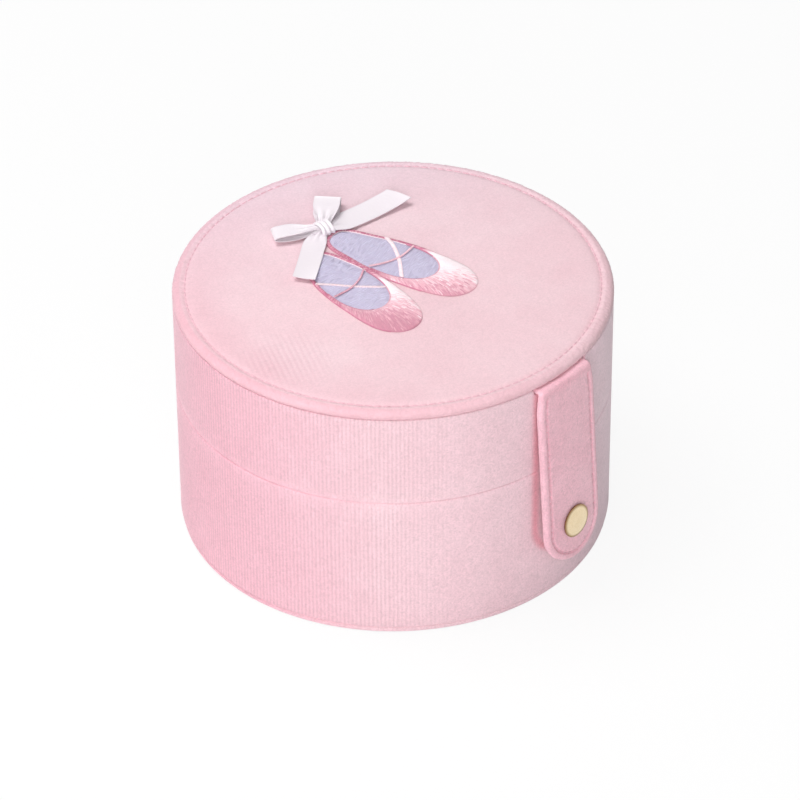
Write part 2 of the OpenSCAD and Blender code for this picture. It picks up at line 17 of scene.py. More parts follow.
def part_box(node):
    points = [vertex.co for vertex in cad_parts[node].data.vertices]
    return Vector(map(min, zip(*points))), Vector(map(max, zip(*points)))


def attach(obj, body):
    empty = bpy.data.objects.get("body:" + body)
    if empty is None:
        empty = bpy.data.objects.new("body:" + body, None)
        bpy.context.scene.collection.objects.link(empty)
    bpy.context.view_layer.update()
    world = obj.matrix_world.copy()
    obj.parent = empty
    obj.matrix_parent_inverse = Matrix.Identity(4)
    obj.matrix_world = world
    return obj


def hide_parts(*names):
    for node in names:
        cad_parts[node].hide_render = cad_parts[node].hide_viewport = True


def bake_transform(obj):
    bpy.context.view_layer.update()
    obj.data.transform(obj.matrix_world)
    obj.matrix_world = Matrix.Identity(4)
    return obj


MM = 0.001
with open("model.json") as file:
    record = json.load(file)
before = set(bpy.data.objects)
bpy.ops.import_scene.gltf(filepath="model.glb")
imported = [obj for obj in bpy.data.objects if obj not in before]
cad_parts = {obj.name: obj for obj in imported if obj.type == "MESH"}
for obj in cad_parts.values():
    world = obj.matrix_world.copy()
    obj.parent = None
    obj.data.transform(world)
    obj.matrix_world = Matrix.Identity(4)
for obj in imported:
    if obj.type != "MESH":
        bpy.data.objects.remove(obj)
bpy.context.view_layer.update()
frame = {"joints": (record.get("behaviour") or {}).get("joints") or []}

# %% [markdown]
# The sizes that everything else follows are read from the frame, so that the soft parts land on their
# boards. A few sizes of sewing, such as how far a seam runs from an edge, are the maker's choice and are
# named where they are first needed.

# %% Sizes
wall_low, wall_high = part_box("base_wall_velvet")
lid_low, lid_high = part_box("lid_wall_velvet")
disc_low, disc_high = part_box("lid_disc_cover")
foot_low, foot_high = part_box("foot_cover")
tongue_low, tongue_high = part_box("strap_tongue")
CASE_R = wall_high.x
BASE_Z0, BASE_Z1 = wall_low.z, wall_high.z
LID_Z0, LID_Z1 = lid_low.z, lid_high.z
DISC_Z0, DISC_Z1 = disc_low.z, disc_high.z
TONGUE_HALF_W, TONGUE_Z = tongue_high.x, tongue_low.z
BOARD_IN_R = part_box("base_floor_board")[1].x
VELVET_T = 1.2 * MM
TURN_IN = 6 * MM
JOINTS = {joint["name"]: joint for joint in frame["joints"]}
BEND = Vector(JOINTS["strap_flex"]["pos_m"])
HINGE = Vector(JOINTS["lid_hinge"]["pos_m"])
print("case radius", round(CASE_R / MM, 2), "seam at", round(BASE_Z1 / MM, 2), "bend at", BEND)

# %% [markdown]
# ## Camera
# A long lens keeps the case's sides almost parallel. The camera is set by the point it looks at, its
# distance, its azimuth and elevation, and a small roll.

# %% Camera
CAMERA_TARGET = Vector((1.39, -1.55, 42.65)) * MM
CAMERA_DISTANCE = 1.5892
CAMERA_AZIMUTH = math.radians(-48)
CAMERA_ELEVATION = math.radians(36.62)
CAMERA_ROLL = math.radians(-0.437)
LENS_MM, SENSOR_MM = 206.8, 36

camera_data = bpy.data.cameras.new("camera")
camera_data.sensor_width = SENSOR_MM
camera_data.lens = LENS_MM
camera_data.clip_start = 0.05
camera_data.clip_end = 20
camera = bpy.data.objects.new("camera", camera_data)
bpy.context.collection.objects.link(camera)
back = Vector((
    math.sin(CAMERA_AZIMUTH) * math.cos(CAMERA_ELEVATION),
    -math.cos(CAMERA_AZIMUTH) * math.cos(CAMERA_ELEVATION),
    math.sin(CAMERA_ELEVATION),
))
right = Vector((math.cos(CAMERA_AZIMUTH), math.sin(CAMERA_AZIMUTH), 0))
upward = back.cross(right)
roll = Matrix.Rotation(CAMERA_ROLL, 3, back)
axes = Matrix((roll @ right, roll @ upward, back)).transposed()
camera.matrix_world = Matrix.Translation(CAMERA_TARGET + back * CAMERA_DISTANCE) @ axes.to_4x4()
bpy.context.scene.camera = camera

# %% [markdown]
# ## Tools for modelling
# Each piece starts as a primitive and is shaped in edit mode. These short helpers keep the steps readable:
# select one object, run edit operators on all of it, and close a finished piece so that its place is in its
# mesh and its object sits at the origin.

# %% Modelling helpers
def only(piece):
    """Selects one object and nothing else."""
    bpy.ops.object.select_all(action="DESELECT")
    piece.select_set(True)
    bpy.context.view_layer.objects.active = piece


def start(name, add, **settings):
    """Adds a primitive with nothing else selected and names it."""
    bpy.ops.object.select_all(action="DESELECT")
    add(**settings)
    piece = bpy.context.object
    piece.name = piece.data.name = name
    return piece


def join(name, parts):
    """Joins several objects into one piece."""
    bpy.ops.object.select_all(action="DESELECT")
    for part in parts:
        part.select_set(True)
    bpy.context.view_layer.objects.active = parts[0]
    bpy.ops.object.join()
    piece = bpy.context.object
    piece.name = piece.data.name = name
    return piece


def edit_all(piece, *steps):
    """Runs edit-mode operators, each with its settings, on everything in the piece."""
    only(piece)
    bpy.ops.object.mode_set(mode="EDIT")
    for operator, settings in steps:
        bpy.ops.mesh.select_all(action="SELECT")
        operator(**settings)
    bpy.ops.object.mode_set(mode="OBJECT")


def weld(piece, distance=0.004 * MM):
    """Merges doubles and points all faces outwards."""
    edit_all(piece, (bpy.ops.mesh.remove_doubles, {"threshold": distance}),
             (bpy.ops.mesh.normals_make_consistent, {"inside": False}))


def fill_holes(piece, most_sides=0):
    """Closes each hole that has at most this many sides; 0 closes every hole."""
    edit_all(piece, (bpy.ops.mesh.fill_holes, {"sides": most_sides}),
             (bpy.ops.mesh.normals_make_consistent, {"inside": False}))


def add_modifier(piece, kind, **settings):
    """Adds one modifier and applies it."""
    only(piece)
    modifier = piece.modifiers.new(kind.lower(), kind)
    for key, value in settings.items():
        setattr(modifier, key, value)
    bpy.ops.object.modifier_apply(modifier=modifier.name)


def close(piece, angle=40):
    """Applies the piece's place, and shades it smooth except over sharp edges."""
    only(piece)
    bpy.ops.object.transform_apply(location=True, rotation=True, scale=True)
    bpy.ops.object.shade_smooth_by_angle(angle=math.radians(angle))
    return piece


def triangles(piece):
    return sum(len(face.vertices) - 2 for face in piece.data.polygons)


def dress(piece, finish, slot, body, *stands_for):
    """Gives a piece its finish, and the body it rides on in place of the named CAD nodes. The slot is not
    used.
    """
    piece.data.materials.append(finish)
    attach(piece, body)
    if stands_for:
        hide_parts(*stands_for)


# %% [markdown]
# Seams, ribs and swells are pressed in by moving vertices. They are all made of the same few curves: a
# bell beside a line, a rise from 0 to 1 over a distance, and the round edge of something padded.

# %% Moving vertices
def vertices(piece):
    """The piece's vertex positions as an array."""
    flat = np.empty(len(piece.data.vertices) * 3)
    piece.data.vertices.foreach_get("co", flat)
    return flat.reshape(-1, 3)


def move_vertices(piece, places):
    piece.data.vertices.foreach_set("co", np.ascontiguousarray(places, dtype=np.float32).ravel())
    piece.data.update()


def mark(piece, name, values):
    """Stores one number for each vertex, for a material to read."""
    layer = piece.data.attributes.new(name, "FLOAT", "POINT")
    layer.data.foreach_set("value", np.asarray(values, dtype=np.float32))


def polar(co):
    """The distance of each vertex from the Z axis, and its angle round it."""
    return np.hypot(co[:, 0], co[:, 1]), np.arctan2(co[:, 1], co[:, 0])


def rise(value, first, run):
    """0 up to first, then growing evenly to 1 over the run."""
    return np.clip((value - first) / run, 0, 1)


def ease(share):
    """A share from 0 to 1 that leaves and arrives gently."""
    share = np.clip(share, 0, 1)
    return share * share * (3 - 2 * share)


def bell(distance, width):
    """1 on a line, fading to nothing on both sides of it."""
    return np.exp(-(distance / width) ** 2)


def round_edge(distance, soft):
    """How thick something padded is at a distance from its edge, as a share of full."""
    inside = np.clip(distance / soft, 0, 1)
    return np.sqrt(np.clip(1 - (1 - inside) ** 2, 0, 1))


def nap(piece, height, grain, where=None):
    """Roughens the surface along its normals, so that edges look like pile and not like plastic."""
    co = vertices(piece)
    normals = np.empty(co.size)
    piece.data.vertex_normals.foreach_get("vector", normals)
    lift = np.array([noise.noise(Vector(spot) / grain) + 0.5 * noise.noise(Vector(spot) / (0.4 * grain))
                     for spot in co])
    if where is not None:
        lift *= where
    move_vertices(piece, co + normals.reshape(-1, 3) * (lift * height)[:, None])


# %% [markdown]
# Round pieces are turned, as on a lathe: an outline of radius and height is drawn by extruding one vertex
# from point to point, and a screw modifier without any rise turns it round Z. The spin operator makes the
# same form but slows down badly over hundreds of steps. A turned shell can come out inside out, so its
# doubles are merged and its normals are recalculated at once.

# %% Turning
MERGE = 0.002 * MM


def turned(name, outline, steps):
    """Turns a list of (radius, height) points round Z."""
    piece = start(name, bpy.ops.mesh.primitive_plane_add, size=MM)
    bpy.ops.object.mode_set(mode="EDIT")
    bpy.ops.mesh.merge(type="CENTER")
    radius, height = outline[0]
    bpy.ops.transform.translate(value=(radius, 0, height))
    for next_radius, next_height in outline[1:]:
        step = (next_radius - radius, 0, next_height - height)
        bpy.ops.mesh.extrude_region_move(TRANSFORM_OT_translate={"value": step})
        radius, height = next_radius, next_height
    bpy.ops.object.mode_set(mode="OBJECT")
    add_modifier(piece, "SCREW", steps=steps, render_steps=steps, axis="Z", use_merge_vertices=True,
                 merge_threshold=MERGE)
    weld(piece, MERGE)
    return piece


def arc(centre_r, centre_z, radius, from_deg, to_deg, count):
    """Points of an arc in the outline's plane; 0 degrees points outwards and 90 upwards."""
    points = []
    for i in range(count):
        angle = math.radians(from_deg + (to_deg - from_deg) * i / (count - 1))
        points.append((centre_r + radius * math.cos(angle), centre_z + radius * math.sin(angle)))
    return points


def between_points(a, b, count):
    """Points from a up to but not including b."""
    return [(a[0] + (b[0] - a[0]) * i / count, a[1] + (b[1] - a[1]) * i / count) for i in range(count)]


# %% [markdown]
# ## Finishes
# A finish is a tree of nodes that ends in one Principled shader. A value that is the same all over is set on
# the shader's own socket, and what changes over the surface is linked to it. The helpers below add one node
# each and hand back its result, so that a tree reads like a sum.

# %% Node helpers
def new_material(name, **sockets):
    """A material with one Principled shader whose constant values are set on its own sockets."""
    material = bpy.data.materials.new(name)
    material.use_nodes = True
    shader = material.node_tree.nodes["Principled BSDF"]
    for key, value in sockets.items():
        shader.inputs[key.replace("_", " ")].default_value = value
    return material, material.node_tree, shader


def wire(tree, shader, **results):
    """Links results to the shader's sockets."""
    for key, result in results.items():
        tree.links.new(result, shader.inputs[key.replace("_", " ")])


def node(tree, kind, inputs=None, **settings):
    """Adds a node, sets its options, and sets or links its inputs."""
    made = tree.nodes.new(kind)
    for key, value in settings.items():
        setattr(made, key, value)
    for key, value in (inputs or {}).items():
        if isinstance(value, bpy.types.NodeSocket):
            tree.links.new(value, made.inputs[key])
        else:
            made.inputs[key].default_value = value
    return made


def on_object(tree):
    """The place on the object, in metres."""
    return node(tree, "ShaderNodeTexCoord").outputs["Object"]


def calc(tree, operation, *values, clamp=False):
    """One sum; each value is a number or a result."""
    made = node(tree, "ShaderNodeMath", dict(enumerate(values)), operation=operation, use_clamp=clamp)
    return made.outputs[0]


def vector_calc(tree, operation, *values, **named):
    """One sum on vectors, which gives a number for lengths, distances and products."""
    made = node(tree, "ShaderNodeVectorMath", {**dict(enumerate(values)), **named}, operation=operation)
    return made.outputs["Value" if operation in ("LENGTH", "DISTANCE", "DOT_PRODUCT") else "Vector"]


def spread(tree, value, to_min=0.0, to_max=1.0, from_min=0.0, from_max=1.0, smooth=False):
    """Maps a value from one range to another and keeps it there."""
    made = node(tree, "ShaderNodeMapRange", {
        "Value": value, "From Min": from_min, "From Max": from_max, "To Min": to_min, "To Max": to_max})
    made.interpolation_type = "SMOOTHSTEP" if smooth else "LINEAR"
    return made.outputs["Result"]


def mixed(tree, share, first, second, **settings):
    """The first colour where share is 0 and the second where it is 1."""
    made = node(tree, "ShaderNodeMix", {0: share, 6: first, 7: second}, data_type="RGBA", **settings)
    return made.outputs[2]


def grains(tree, where, scale, detail, **named):
    """Noise of a scale and detail, about 0.5."""
    inputs = {"Vector": where, "Scale": scale, "Detail": detail, **named}
    return node(tree, "ShaderNodeTexNoise", inputs).outputs["Fac"]


def stretched(tree, where, **named):
    """The place, turned or stretched before a pattern reads it."""
    return node(tree, "ShaderNodeMapping", {"Vector": where, **named}).outputs[0]


def bumped(tree, strength, distance, height, **named):
    """The normal of a surface with this height on it."""
    inputs = {"Strength": strength, "Distance": distance, "Height": height, **named}
    return node(tree, "ShaderNodeBump", inputs).outputs[0]


def new_group(name, inputs, outputs):
    """A shader node group with named float, colour or vector sockets."""
    tree = bpy.data.node_groups.new(name, "ShaderNodeTree")
    kinds = {"float": "NodeSocketFloat", "colour": "NodeSocketColor", "vector": "NodeSocketVector"}
    for label, kind, default in inputs:
        socket = tree.interface.new_socket(label, in_out="INPUT", socket_type=kinds[kind])
        if default is not None:
            socket.default_value = default
    for label, kind in outputs:
        tree.interface.new_socket(label, in_out="OUTPUT", socket_type=kinds[kind])
    return tree, tree.nodes.new("NodeGroupInput"), tree.nodes.new("NodeGroupOutput")


def srgb(red, green, blue):
    """A colour given as it looks on screen, 0 to 255, turned into the linear values that shaders use."""
    linear = []
    for channel in (red, green, blue):
        c = channel / 255
        linear.append(c / 12.92 if c <= 0.04045 else ((c + 0.055) / 1.055) ** 2.4)
    return (*linear, 1.0)


# %% [markdown]
# Velvet is short pile: it has no gloss of its own, but the pile catches light at a grazing angle, which the
# shader's sheen gives. What makes it read as velvet close up is that the pile leans this way and that, in
# fine flecks, in tufts and in larger clouds, so its colour is never even. One node group, Pile, makes those
# masks once, and every napped cloth here uses it with its own values.

# %% The pile group
FLECK_SCALE, TUFT_SCALE, CLOUD_SCALE, DRIFT_SCALE = 1700, 640, 70, 16
TUFT_SHARE = 0.55

pile, pile_in, pile_out = new_group(
    "Pile",
    [("Vector", "vector", None), ("Light", "colour", srgb(255, 225, 230)),
     ("Dark", "colour", srgb(230, 170, 185)), ("Fleck Size", "float", 1.0), ("Fleck", "float", 0.5),
     ("Cloud", "float", 0.5)],
    [("Colour", "colour"), ("Height", "float"), ("Roughness", "float")],
)
given = pile_in.outputs
spot = given["Vector"]
fleck_scale = calc(pile, "DIVIDE", FLECK_SCALE, given["Fleck Size"])
flecks = grains(pile, spot, fleck_scale, 3.0, Roughness=0.6, Distortion=1.0)
clouds = grains(pile, spot, CLOUD_SCALE, 5.0, Roughness=0.6)
drifts = grains(pile, spot, DRIFT_SCALE, 2.0, Roughness=0.5)
cloud_part = calc(pile, "SUBTRACT", calc(pile, "ADD", clouds, drifts), 1.0)
lean = calc(pile, "MULTIPLY_ADD", cloud_part, given["Cloud"], 0.5, clamp=True)
tint = mixed(pile, lean, given["Dark"], given["Light"])
tufts = grains(pile, spot, TUFT_SCALE, 2.0, Roughness=0.7, Distortion=1.6)
height = node(pile, "ShaderNodeMix", {0: TUFT_SHARE, 2: flecks, 3: tufts}).outputs["Result"]
fleck_part = spread(pile, height, -0.5, 0.5, from_min=0.36, from_max=0.64)
bright = calc(pile, "MULTIPLY_ADD", fleck_part, given["Fleck"], 1.0)
pile.links.new(vector_calc(pile, "SCALE", tint, Scale=bright), pile_out.inputs["Colour"])
pile.links.new(height, pile_out.inputs["Height"])
pile.links.new(spread(pile, flecks, 0.95, 0.8), pile_out.inputs["Roughness"])


def napped(tree, place, light, dark, fleck, cloud, fleck_size=1.0):
    """The results of the Pile group for one cloth."""
    return node(tree, "ShaderNodeGroup", {
        "Vector": place, "Light": light, "Dark": dark, "Fleck Size": fleck_size, "Fleck": fleck,
        "Cloud": cloud}, node_tree=pile).outputs


# %% [markdown]
# The velvet isn't the same all over, and each thing that marks it is a mask of its own. Four tints run along
# a direction across the case as painted shade and sheen: deeper and more saturated on the side the lamps
# light most, paler and greyer on the shaded side. Crushed pile beside a seam is darker, and the same tint is
# painted shade along the seams, on the lid's rim and over the lit side of the lid. A soft line on the front
# wall beside the strap is a painted shadow. On the lid the ribs show only in one patch, with painted shade in
# their grooves.

# %% What marks the velvet
# Crushed pile and painted shade: a deeper pink for the seams, the lid's rim and the strap's groove.
CRUSH_SHADE = (0.94, 0.775, 0.815, 1)
# A painted shadow on the front wall beside the strap: its tint, height, distance from the middle and width.
STRAP_SHADOW_TINT = (0.98, 0.66, 0.7, 1)
STRAP_SHADOW_Z = 31 * MM
STRAP_SHADOW_R = 11.6 * MM
STRAP_SHADOW_W = 2.6 * MM
# Painted shade in the grooves of the lid's faint ribs, in one patch.
RIB_SHADE_TINT = (0.955, 0.915, 0.93, 1)
RIBS_SHOW = (-57 * MM, -4 * MM, 95 * MM)
LID_RIB_PITCH = 1.9 * MM
LID_RIB_TURN = math.radians(31)


def tinted(tree, colour, share, tint):
    """The colour, multiplied by the tint where share is 1."""
    return mixed(tree, share, colour, tint, blend_type="MULTIPLY")


def side_shade_tints(tree, place, way, tints):
    """Painted shade and sheen by side: tints at the far end of a direction, the middle, three quarters and
    the near end.
    """
    across = vector_calc(tree, "DOT_PRODUCT", place, way)
    ramp = node(tree, "ShaderNodeValToRGB", {"Fac": spread(tree, across, from_min=-CASE_R, from_max=CASE_R)})
    stops = ramp.color_ramp.elements
    stops[0].color = tints[0]
    stops[1].color = tints[3]
    stops.new(0.5).color = tints[1]
    stops.new(0.75).color = tints[2]
    return ramp.outputs["Color"]


def strap_shadow_mask(tree, place):
    """A painted shadow: a soft line on the front of the wall, round where the strap lies."""
    spot = node(tree, "ShaderNodeSeparateXYZ", {0: place})
    below = calc(tree, "MINIMUM", calc(tree, "SUBTRACT", spot.outputs["Z"], STRAP_SHADOW_Z), 0.0)
    flat = node(tree, "ShaderNodeCombineXYZ", {0: spot.outputs["X"], 1: below, 2: 0.0}).outputs[0]
    off = calc(tree, "ABSOLUTE", calc(tree, "SUBTRACT", vector_calc(tree, "LENGTH", flat), STRAP_SHADOW_R))
    pressed = spread(tree, off, 1.0, 0.0, from_max=STRAP_SHADOW_W, smooth=True)
    return calc(tree, "MULTIPLY", pressed, calc(tree, "LESS_THAN", spot.outputs["Y"], 0.0))


def faint_ribs(tree, place):
    """Ribs that show in one patch of the lid and fade out round it."""
    away = vector_calc(tree, "DISTANCE", place, RIBS_SHOW)
    seen = spread(tree, away, 1.0, 0.07, from_min=4 * MM, from_max=22 * MM, smooth=True)
    aim = stretched(tree, place, Rotation=(0, 0, LID_RIB_TURN))
    ribs = node(tree, "ShaderNodeTexWave", {
        "Vector": aim, "Scale": math.pi / (10 * LID_RIB_PITCH), "Distortion": 0.6, "Detail": 2.0,
        "Detail Scale": 1.0}, wave_type="BANDS", bands_direction="X")
    return calc(tree, "MULTIPLY", ribs.outputs["Fac"], seen)


def attribute(tree, name):
    return node(tree, "ShaderNodeAttribute", attribute_name=name, attribute_type="GEOMETRY").outputs["Fac"]


# %% [markdown]
# The velvet has three uses: on the walls, whose ribs are modelled, on the flat lid, where the same ribs are
# too faint to model and are left to a bump, and on the strap. They share one recipe.

# %% Velvet
GROOVE_SHADE = 0.145


def velvet(name, light, dark, fleck, cloud, side_shade=None, rib_bump=0.0, ribbed=False, strap_shadow=False):
    """Napped pink velvet. The direction and four tints are painted shade and sheen by side; ribbed paints
    shade into the modelled grooves.
    """
    material, tree, shader = new_material(
        name, Sheen_Weight=0.3, Sheen_Roughness=0.45, Sheen_Tint=(1.0, 0.94, 0.96, 1.0),
        Specular_IOR_Level=0.12)
    place = on_object(tree)
    cloth = napped(tree, place, light, dark, fleck, cloud)
    colour = cloth["Colour"]
    # Painted shade and sheen, set by which side of the case a point is on.
    if side_shade:
        colour = tinted(tree, colour, 1.0, side_shade_tints(tree, place, side_shade[0], side_shade[1:]))
    # Crushed pile and painted shade along the seams and on the lid's rim.
    colour = tinted(tree, colour, attribute(tree, "CrushShade"), CRUSH_SHADE)
    # Painted shadow beside the strap.
    if strap_shadow:
        colour = tinted(tree, colour, strap_shadow_mask(tree, place), STRAP_SHADOW_TINT)
    # Painted shade in the rib grooves, and a painted highlight on the base's fold.
    if ribbed:
        shade = calc(tree, "MULTIPLY_ADD", attribute(tree, "GrooveShadeFoldLight"), -GROOVE_SHADE, 1.0)
        colour = vector_calc(tree, "SCALE", colour, Scale=shade)
    normal = bumped(tree, 0.4, 0.18 * MM, cloth["Height"])
    if rib_bump:
        ribs = faint_ribs(tree, place)
        # Painted shade in the grooves of the lid's ribs.
        colour = tinted(tree, colour, ribs, RIB_SHADE_TINT)
        normal = bumped(tree, rib_bump, 0.1 * MM, ribs, Normal=normal)
    wire(tree, shader, Base_Color=colour, Roughness=cloth["Roughness"], Normal=normal)
    return material


# This direction points to the side that the lamps light most. The wall and lid tints that follow are painted
# shade and sheen by side.
LIT_SIDE_WAY = (-0.93, 0.37, 0)
WALL_SIDE_SHADE = (LIT_SIDE_WAY, (0.935, 1.0, 1.02, 1), (0.865, 0.845, 0.855, 1), (0.925, 0.885, 0.895, 1),
              (0.89, 0.695, 0.755, 1))
LID_SIDE_SHADE = ((0.45, 0.89, 0), (0.965, 0.945, 0.94, 1), (0.99, 0.985, 0.98, 1), (0.975, 1.0, 1.0, 1),
             (0.94, 1.0, 1.03, 1))
wall_velvet = velvet("wall_velvet", srgb(250, 222, 228), srgb(240, 203, 211), 0.24, 0.6, WALL_SIDE_SHADE,
                     ribbed=True, strap_shadow=True)
lid_velvet = velvet("lid_velvet", srgb(237, 210, 216), srgb(230, 194, 202), 0.13, 1.0, LID_SIDE_SHADE,
                    rib_bump=0.3)
strap_velvet = velvet("strap_velvet", srgb(242, 200, 210), srgb(228, 175, 188), 0.26, 1.0)

# %% [markdown]
# ## Grids with a shape of their own
# Straps, ribbons, pads and threads all start as a flat grid whose columns and rows are then laid where the
# piece wants them. That keeps the faces in neat rows along the cloth, which is where seams and pleats go.

# %% Mapped grids and smooth paths
CURVE_CUTS = 24


def mapped_grid(name, columns, rows, place):
    """Adds a grid and moves each vertex to place(column, row), which works on arrays of indices."""
    piece = start(name, bpy.ops.mesh.primitive_grid_add, x_subdivisions=columns, y_subdivisions=rows, size=1)
    co = vertices(piece)
    column = np.rint((co[:, 0] + 0.5) * columns).astype(int)
    row = np.rint((co[:, 1] + 0.5) * rows).astype(int)
    move_vertices(piece, np.stack(place(column, row), axis=1))
    return piece


def running_length(path):
    """How far along the path each of its points lies."""
    return np.concatenate([[0], np.cumsum(np.linalg.norm(np.diff(path, axis=0), axis=1))])


def point_at(path, marks, where):
    """Points of the path between its own points, at places measured on the same scale as marks."""
    return [np.interp(where, marks, path[:, axis]) for axis in range(path.shape[1])]


def cut_even(path, count):
    """The same path in count even steps."""
    run = running_length(path)
    return np.stack(point_at(path, run, np.linspace(0, run[-1], count + 1)), axis=1)


def smooth_path(points, count):
    """A Catmull-Rom curve through the points, cut into count even steps."""
    p = np.array(points, float)
    ends = np.vstack([2 * p[0] - p[1], p, 2 * p[-1] - p[-2]])
    fine = []
    for k in range(len(p) - 1):
        a, b, c, d = ends[k:k + 4]
        t = np.linspace(0, 1, CURVE_CUTS, endpoint=False)[:, None]
        bend = (2 * a - 5 * b + 4 * c - d) * t ** 2
        fine.append(0.5 * (2 * b + (c - a) * t + bend + (3 * b - a - 3 * c + d) * t ** 3))
    return cut_even(np.vstack(fine + [p[-1:]]), count)


def directions(path):
    step = np.gradient(path, axis=0)
    return step / np.linalg.norm(step, axis=1)[:, None]


def mesh_area(piece):
    return sum(face.area for face in piece.data.polygons)


# %% [markdown]
# A row of stitches is one short thread, modelled once with a few dozen faces and copied to every place. Each
# copy gets its own mesh, and the row is joined into one piece.

# %% Threads and stitches
THREAD_SIDES, THREAD_RINGS = 8, 6
END_ROWS = 3


def thread_model(length, thick):
    """A short thread along X with tapering ends."""
    model = start("thread", bpy.ops.mesh.primitive_uv_sphere_add, segments=THREAD_SIDES,
                  ring_count=THREAD_RINGS, radius=0.5, rotation=(0, math.pi / 2, 0))
    only(model)
    bpy.ops.object.transform_apply(location=False, rotation=True, scale=False)
    co = vertices(model)
    full = np.sign(co[:, 0]) * np.abs(2 * co[:, 0]) ** 0.6 / 2
    move_vertices(model, np.stack([full * length, co[:, 1] * thick, co[:, 2] * thick], axis=1))
    return model


def paint(piece, colours):
    """Stores a colour for each vertex, or one for all of them, for the thread material to read."""
    layer = piece.data.color_attributes.get("Thread")
    layer = layer or piece.data.color_attributes.new("Thread", "FLOAT_COLOR", "POINT")
    colours = np.broadcast_to(np.asarray(colours, dtype=np.float32), (len(piece.data.vertices), 4))
    layer.data.foreach_set("color", colours.ravel())


def lay_threads(name, length, thick, places, shades=None):
    """Copies a thread to each (point, direction, up) and joins the copies. shades colours each copy."""
    model = thread_model(length, thick)
    copies = []
    for number, (point, along, up) in enumerate(places):
        copy = model.copy()
        copy.data = model.data.copy()
        bpy.context.collection.objects.link(copy)
        x = Vector(along).normalized()
        y = Vector(up).cross(x).normalized()
        turn = Matrix((x, y, x.cross(y))).transposed().to_4x4()
        stretch = Matrix.Scale(Vector(along).length, 4, (1, 0, 0))
        copy.data.transform(Matrix.Translation(point) @ turn @ stretch)
        if shades is not None:
            paint(copy, shades[number])
        copies.append(copy)
    bpy.data.objects.remove(model)
    piece = join(name, copies)
    only(piece)
    bpy.ops.object.shade_smooth()
    return piece


def tube(name, path, wide, high):
    """A thread or cord along a path, elliptical across, closed to a point at both ends."""
    rows = len(path) - 1
    ahead = directions(path)
    side = np.cross(ahead, np.array([0, 0, 1.0]))
    side /= np.linalg.norm(side, axis=1)[:, None]
    up = np.cross(side, ahead)
    from_end = np.minimum(np.arange(rows + 1), rows - np.arange(rows + 1))
    closing = np.clip(from_end / END_ROWS, 0, 1) ** 0.5

    def place(column, row):
        angle = 2 * np.pi * column / THREAD_SIDES
        across = np.cos(angle) * wide / 2 * closing[row]
        lift = np.sin(angle) * high / 2 * closing[row]
        return (path[row] + side[row] * across[:, None] + up[row] * lift[:, None]).T

    piece = mapped_grid(name, THREAD_SIDES, rows, place)
    weld(piece)
    return piece


# %% [markdown]
# ## More finishes
# Thread and ribbon shine along their length. Suede is a very short nap, so it uses the same Pile group with
# small flecks. Greyboard, foam, brass and the mirror are each a plain material with the small faults of the
# real one: fibres and plies, open cells, smears and dust.

# %% Suede, board and foam
pale_suede, tree, shader = new_material(
    "pale_suede", Sheen_Weight=0.25, Sheen_Roughness=0.5, Sheen_Tint=(1.0, 0.97, 0.97, 1.0),
    Specular_IOR_Level=0.1)
cloth = napped(tree, on_object(tree), srgb(250, 229, 230), srgb(238, 205, 208), 0.45, 0.35, 0.7)
wire(tree, shader, Base_Color=cloth["Colour"], Roughness=cloth["Roughness"],
     Normal=bumped(tree, 0.25, 0.06 * MM, cloth["Height"]))

greyboard, tree, shader = new_material("greyboard", Roughness=0.9, Specular_IOR_Level=0.15)
place = on_object(tree)
fibres = grains(tree, place, 900.0, 4.0, Roughness=0.7)
plies = grains(tree, stretched(tree, place, Scale=(60, 60, 2600)), 1.0, 2.0)
pulp = calc(tree, "MULTIPLY", fibres, plies)
grey = spread(tree, pulp, from_min=0.12, from_max=0.42)
wire(tree, shader, Base_Color=mixed(tree, grey, srgb(120, 116, 110), srgb(176, 171, 163)),
     Normal=bumped(tree, 0.3, 0.1 * MM, pulp))

foam_sheet, tree, shader = new_material("foam_sheet", Roughness=0.95, Specular_IOR_Level=0.1)
# The middles of the open cells are painted darker, as painted shade in their hollows.
cells = node(tree, "ShaderNodeTexVoronoi", {"Vector": on_object(tree), "Scale": 1600.0},
             feature="DISTANCE_TO_EDGE").outputs["Distance"]
cream = spread(tree, cells, from_max=0.18)
wire(tree, shader, Base_Color=mixed(tree, cream, srgb(250, 244, 226), srgb(226, 214, 188)),
     Normal=bumped(tree, 0.4, 0.1 * MM, cells))

# %% [markdown]
# The brass of the snap is bright and pale. Handling leaves faint smears on it, which change its roughness.
# The turned-down rim of the cap is painted brown all round, as a painted reflection of the dark that a dome
# shows at its edge. The mirror is a silvered back seen through float glass, so it is a clean metal with a
# trace of green and a few specks of dust.

# %% Brass and mirror
cap_low, cap_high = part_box("snap_cap")
cap_r = cap_high.x
cap_middle = (0, 0, (cap_low.z + cap_high.z) / 2)

pale_brass, tree, shader = new_material("pale_brass", Metallic=1.0, Specular_IOR_Level=0.5)
place = on_object(tree)
smears = grains(tree, place, 420.0, 3.0, Distortion=0.8)
polished = mixed(tree, smears, srgb(226, 203, 164), srgb(238, 220, 188))
# Painted reflection: the rim of the cap is darkened brown all round.
in_front = vector_calc(tree, "MULTIPLY", vector_calc(tree, "SUBTRACT", place, cap_middle), (1, 0, 1))
from_axis = vector_calc(tree, "LENGTH", in_front)
rim = spread(tree, from_axis, from_min=0.78 * cap_r, from_max=cap_r, smooth=True)
wire(tree, shader, Roughness=spread(tree, smears, 0.13, 0.26),
     Base_Color=mixed(tree, rim, polished, srgb(150, 120, 84)))

